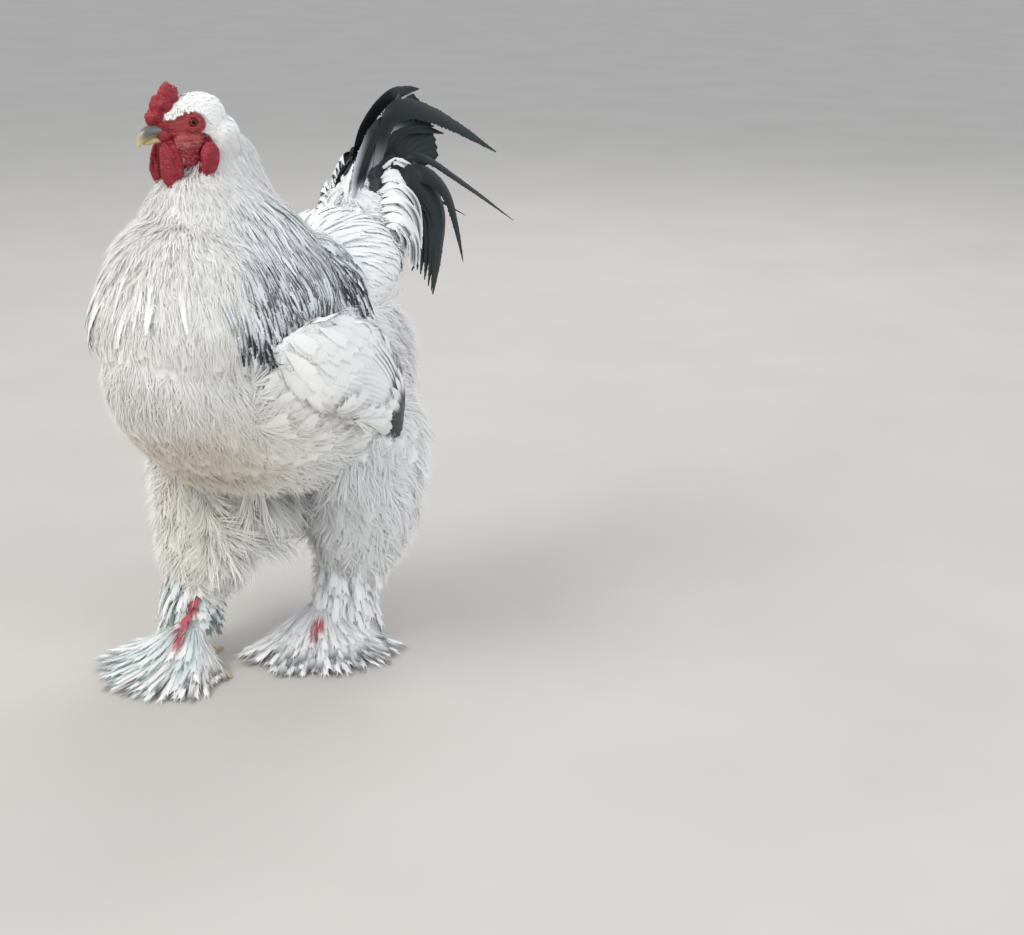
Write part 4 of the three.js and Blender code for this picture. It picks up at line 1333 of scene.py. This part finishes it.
COVERTS = {
    "rows": ((11, 0.68), (11, 0.54), (9, 0.4)),
    "outer": [[24, 232, 572], [52, 254, 592], [72, 290, 556], [76, 300, 486]],
    "inner": [[50, 206, 512], [84, 226, 512], [100, 244, 478], [98, 244, 426]],
}
coverts = Coat("tail_coverts", FEATHER, "tail_feathers")
for s in (-1, 1):
    draw = np.random.default_rng(7 + s)
    paths, faces, wide = [], [], []
    for row, (count, reach) in enumerate(COVERTS["rows"]):
        for i in range(count):
            k = np.clip((i + 0.5 * (row % 2) + draw.uniform(-0.25, 0.25)) / (count - 1), 0, 1)
            line = between(COVERTS, k)
            line = line[0] + (line - line[0]) * reach * draw.uniform(0.92, 1.08)
            line = line + np.array([3.0 * row + draw.uniform(-2, 2), draw.uniform(-4, 4), draw.uniform(-4, 4)])
            paths.append(mirrored(s, line))
            faces.append([s * 0.9, -0.2, 0.5])
            wide.append(7 * draw.uniform(0.85, 1.15))
    add_vanes(coverts, paths, faces, wide, COVERT, laced, cup=0.2, seed=97 + s)
coverts.made()

# Down where the neck's feathers meet the breast, and under the throat
breast_top = (Y < -120) & (np.abs(X) < 125) & (Z > 350) & (Z < 425)
throat = (Y < -90) & (np.abs(X) < 45) & (Z > 535) & (Z < 592)
coat = Coat("coat_bib", FEATHER, "plumage")
for part, gap, long, lie, seed in ((breast_top, 8.5, 42, body_lie, 90), (throat, 7.5, 36, front_lie, 93)):
    roots, place = scattered(BODY_POINTS[part], gap, seed)
    lay(coat, roots, place, long, 9, lie, WISP, plain_white, (-2, 10), seed, cup=0.05, spread=0.25, soft=0.15,
        vary=0.25)
coat.made()

# Feathers where the rows above leave the body bare
roots = np.concatenate(ROOTS)
tree = KDTree(len(roots))
for k, root in enumerate(roots):
    tree.insert(root, k)
tree.balance()
inside = (Z > 165) & (Z < 560) & ~((Y > 200) & (Z > 500))
bare = np.zeros(len(BODY_POINTS), bool)
for i in np.where(inside)[0]:
    bare[i] = tree.find(BODY_POINTS[i])[2] > 13
coat = Coat("coat_between", FEATHER, "plumage")
roots, place = scattered(BODY_POINTS[bare], 10, 5)
lay(coat, roots, place, 44, 13, body_lie, BODY_FEATHER, plain_white, (-3, 4), 6, spread=0.2)
coat.made()


# Feet: feathers on the outer side of the shank, then the fan over the outer toes
STAIN = {
    "colour": (0.42, 0.03, 0.05),
    "lines": [([-26, -84, 92], [-48, -103, 40]), ([49, 53, 40], [45, 48, 28])],
    "face": (0.64, -0.76, 0.0),
    "wide": 6,
}


def stain_at(points):
    """How near points on the front of the feet lie to a reddened place, from 0 to 1."""
    face = unit(np.array(STAIN["face"]))
    near = np.full(points.shape[:-1], 1e3)
    for a, b in STAIN["lines"]:
        a, b = np.array(a, float), np.array(b, float)
        t = np.clip((points - a) @ (b - a) / ((b - a) @ (b - a)), 0, 1)
        off = points - a - t[..., None] * (b - a)
        depth = off @ face
        across = np.linalg.norm(off - depth[..., None] * face, axis=-1)
        near = np.minimum(near, np.where(np.abs(depth) < 36, across, 1e3))
    return 1 - step(STAIN["wide"] * 0.6, STAIN["wide"], near)


def foot_colour(u, v, path, dice, w):
    tip = path[:, -1]
    white = white_at(path, u, dice, 0.35)
    right = tip[:, 0:1] < 0
    near = 1 - step(24, 52, np.hypot(path[:, 0, 0:1] + 50, path[:, 0, 1:2] + 70))
    stained = step(0.25, 0.6, dice) * near * right
    tone = blend(white, TEAL, 0.55 * stained * (1 - 0.4 * u))
    tone = blend(tone, STAIN["colour"], 0.9 * stain_at(on_path(path, u)))
    end = (tip[:, 2:3] < 14) * step(0.66, 0.95, u) * step(0.45 + 0.25 * right, 0.6 + 0.25 * right, dice)
    return blend(tone, BLACK * 2.5, 0.85 * end)


for side, s in SIDES.items():
    coat = Coat(f"coat_foot_{side}", FEATHER, "feathered_foot")
    draw = np.random.default_rng(110 + s)
    paths, faces, wide = [], [], []
    x, y = FOOT[s]
    for z in range(158, 48, -9):
        for turn in range(-150, 160, 16):
            outer = math.cos(math.radians(turn))
            if outer < -0.5 and z < 60:
                continue
            out = math.radians(turn + draw.uniform(-8, 8))
            dx, dy = s * math.cos(out), -math.sin(out)
            back = HOCK["behind"] * (z - 20) / (HOCK["height"] - 20)
            size = max((0.74 + 0.4 * outer) * draw.uniform(0.85, 1.15), 0.5)

            def reach(r, drop):
                return [x + dx * r * size, y + back + dy * r * size, z - drop * size]

            paths.append([reach(6, -2), reach(24, 4), reach(42, 18), reach(52, 42)])
            faces.append([dx * 0.6, dy * 0.6, 0.7])
            wide.append(7 * draw.uniform(0.8, 1.2))
    add_vanes(coat, paths, faces, wide, FOOT_FEATHER, foot_colour, cup=0.2, seed=120 + s, soft=0.3)
    paths, faces, wide = [], [], []
    for row, (count, root, long, high, low) in enumerate(
        ((38, 22, 84, 14, 3.0), (36, 18, 78, 20, 7), (32, 14, 68, 27, 12), (28, 8, 56, 36, 19), (24, 4, 44, 46, 28))
    ):
        for i in range(count):
            angle = -48 + (116 + 48) * (i + draw.uniform(-0.3, 0.3)) / (count - 1)
            bow = math.cos(math.radians(angle - 20))
            length = (long + 22 * bow) * draw.uniform(0.88, 1.08) * (0.6 + 0.4 * float(step(-46, -16, angle)))
            sink = draw.uniform(-1, 2)
            paths.append([
                along(s, angle, root, high),
                along(s, angle + 2, root + length * 0.33, high + 4),
                along(s, angle + 4, root + length * 0.7, (high + low) / 2 + 1 + sink * 0.5),
                along(s, angle + 6 + draw.uniform(-3, 3), root + length, low + max(0, sink)),
            ])
            faces.append([0, 0, 1])
            wide.append(5.4 * draw.uniform(0.75, 1.2))
    add_vanes(coat, paths, faces, wide, FOOT_FEATHER, foot_colour, cup=0.15, seed=130 + s, soft=0.3)
    lifted = [np.array(p) + [0, 0, 2.5] for p in paths]
    add_vanes(coat, lifted, faces, 9, WISP, foot_colour, cup=0.05, seed=140 + s, soft=0.2)
    coat.made()


# Eyes, beak and claws
def tinted_material(name, roughness, grain, coat, specular=0.5):
    n = Nodes(name)
    tint = n.new("ShaderNodeAttribute", attribute_name="tint")
    place = n.new("ShaderNodeTexCoord")
    spots = n.new("ShaderNodeTexNoise", Scale=grain, Detail=3.0)
    n.link(place.outputs["Object"], spots.inputs["Vector"])
    shade = n.ramp(spots.outputs["Fac"], [(0.3, grey(0.72)), (0.7, grey(1.15))])
    n.link(n.mix("MULTIPLY", 0.6, tint.outputs["Color"], shade), n.shader.inputs["Base Color"])
    n.bump(spots.outputs["Fac"], 0.25, 0.0004)
    n.set(Roughness=roughness, Coat_Weight=coat, Coat_Roughness=0.04, Specular_IOR_Level=specular)
    return n.material


EYE_MATERIAL = tinted_material("eye", 0.16, 900.0, 0.04, 0.15)
HORN = tinted_material("horn", 0.38, 260.0, 0.15)
for side, s in SIDES.items():
    corners, faces = ball((0, 0, 0), 1.0, in_head=False, around=48, along=40)
    way = EYE_WAY[s]
    side_way = unit(np.cross(way, [0, 0, 1.0]))
    up = np.cross(side_way, way)
    seen = corners[:, 2]
    turned_corners = corners[:, :1] * side_way + corners[:, 1:2] * up + corners[:, 2:] * way
    bulge = 0.06 * step(0.78, 0.95, seen)
    points = world(head_point(EYE_AT[s] + turned_corners * (EYE["radius"] * (1 + bulge))[:, None]))
    away = np.degrees(np.arccos(np.clip(seen, -1, 1)))
    colours = blend([0.004, 0.003, 0.003], [0.20, 0.035, 0.012], step(19, 22, away))
    colours = blend(colours, [0.10, 0.018, 0.008], step(28, 38, away))
    colours = blend(colours, [0.03, 0.006, 0.005], step(39, 44, away))
    smooth_piece(f"eye_{side}_ball", points, faces, colours, EYE_MATERIAL, "eye", f"eye_{side}")

nostril = lambda t, a: -1.3 * np.exp(-(((t - 0.33) / 0.09) ** 2)) * (
    np.exp(-(((a - 0.75) / 0.28) ** 2)) + np.exp(-(((a - math.pi + 0.75) / 0.28) ** 2))
)
UPPER = Form(
    [[0, -30, -5], [0, -46, -6], [0, -57, -12], [0, -65, -25]], [[12, 9], [10, 8], [7, 7], [1.4, 1.6]], 10, True
)
LOWER = Form(
    [[0, -30, -16], [0, -44, -17], [0, -52, -19.5], [0, -57, -22]], [[9, 5], [8, 4.5], [5, 3.5], [1.8, 1.2]], 10, True
)
for name, form, lift in (("beak_upper", UPPER, nostril), ("beak_lower", LOWER, None)):
    corners, faces = form.shell(0, 48, 44, lift)
    local = local_head(corners)
    dark = step(-17, -9, local[:, 2] - 0.22 * (local[:, 1] + 50)) if name == "beak_upper" else 0 * local[:, 0]
    colours = blend([0.52, 0.40, 0.17], [0.09, 0.10, 0.11], 0.92 * dark)
    colours = blend(colours, [0.62, 0.52, 0.30], step(-56, -64, local[:, 1]) * 0.6)
    smooth_piece(f"{name}_horn", world(corners), faces, colours, HORN, "horn", name)

for side, s in SIDES.items():
    for number, sizes in TOES.items():
        corners, faces = claw(s, *sizes).shell(0, 20, 18)
        corners[:, 2] = np.maximum(corners[:, 2], 0.1)
        name = f"claw_{side}_{number}"
        colours = np.broadcast_to([0.46, 0.36, 0.24], corners.shape)
        smooth_piece(f"{name}_horn", world(corners), faces, colours, HORN, "horn", name)

# Floor, light and camera
def stage_floor():
    mesh = mesh_of("floor", [(-40, -40, 0), (40, -40, 0), (40, 40, 0), (-40, 40, 0)], [(0, 1, 2, 3)])
    n = Nodes("floor")
    place = n.new("ShaderNodeTexCoord")
    spots = n.new("ShaderNodeTexNoise", Scale=3.0, Detail=3.0)
    n.link(place.outputs["Object"], spots.inputs["Vector"])
    n.link(n.ramp(spots.outputs["Fac"], [(0.3, (0.50, 0.475, 0.44, 1)), (0.7, (0.53, 0.505, 0.47, 1))]),
           n.shader.inputs["Base Color"])
    n.set(Roughness=0.9)
    mesh.materials.append(n.material)
    ob = bpy.data.objects.new("floor", mesh)
    bpy.context.scene.collection.objects.link(ob)


def area_light(name, at, target, size, power, colour):
    data = bpy.data.lights.new(name, "AREA")
    data.shape, data.size, data.energy, data.color = "DISK", size, power, colour
    ob = bpy.data.objects.new(name, data)
    ob.location = at
    ob.rotation_euler = (Vector(target) - Vector(at)).to_track_quat("-Z", "Y").to_euler()
    bpy.context.scene.collection.objects.link(ob)


stage_floor()
MIDDLE = (0.0, 0.0, 0.36)
area_light("key", (-0.9, -2.4, 2.8), MIDDLE, 2.0, 69, (1.0, 0.98, 0.95))
area_light("fill", (2.8, -0.6, 1.6), MIDDLE, 2.2, 26, (0.94, 0.97, 1.0))
area_light("back", (-0.8, 2.6, 2.6), MIDDLE, 1.8, 34, (1.0, 1.0, 1.0))
background = bpy.data.worlds.new("air")
background.use_nodes = True
air = background.node_tree.nodes["Background"]
air.inputs["Color"].default_value = (0.86, 0.90, 0.96, 1)
air.inputs["Strength"].default_value = 0.84
bpy.context.scene.world = background
bpy.context.scene.view_settings.view_transform = "Standard"

CAMERA = {"at": (1428, -1703, 940), "forward": (-0.504, 0.810, -0.301), "lens": 66.8}
data = bpy.data.cameras.new("camera")
data.lens, data.sensor_width = CAMERA["lens"], 36
camera = bpy.data.objects.new("camera", data)
camera.location = Vector(world(CAMERA["at"]))
camera.rotation_euler = Vector(CAMERA["forward"]).to_track_quat("-Z", "Y").to_euler()
bpy.context.scene.collection.objects.link(camera)
bpy.context.scene.camera = camera
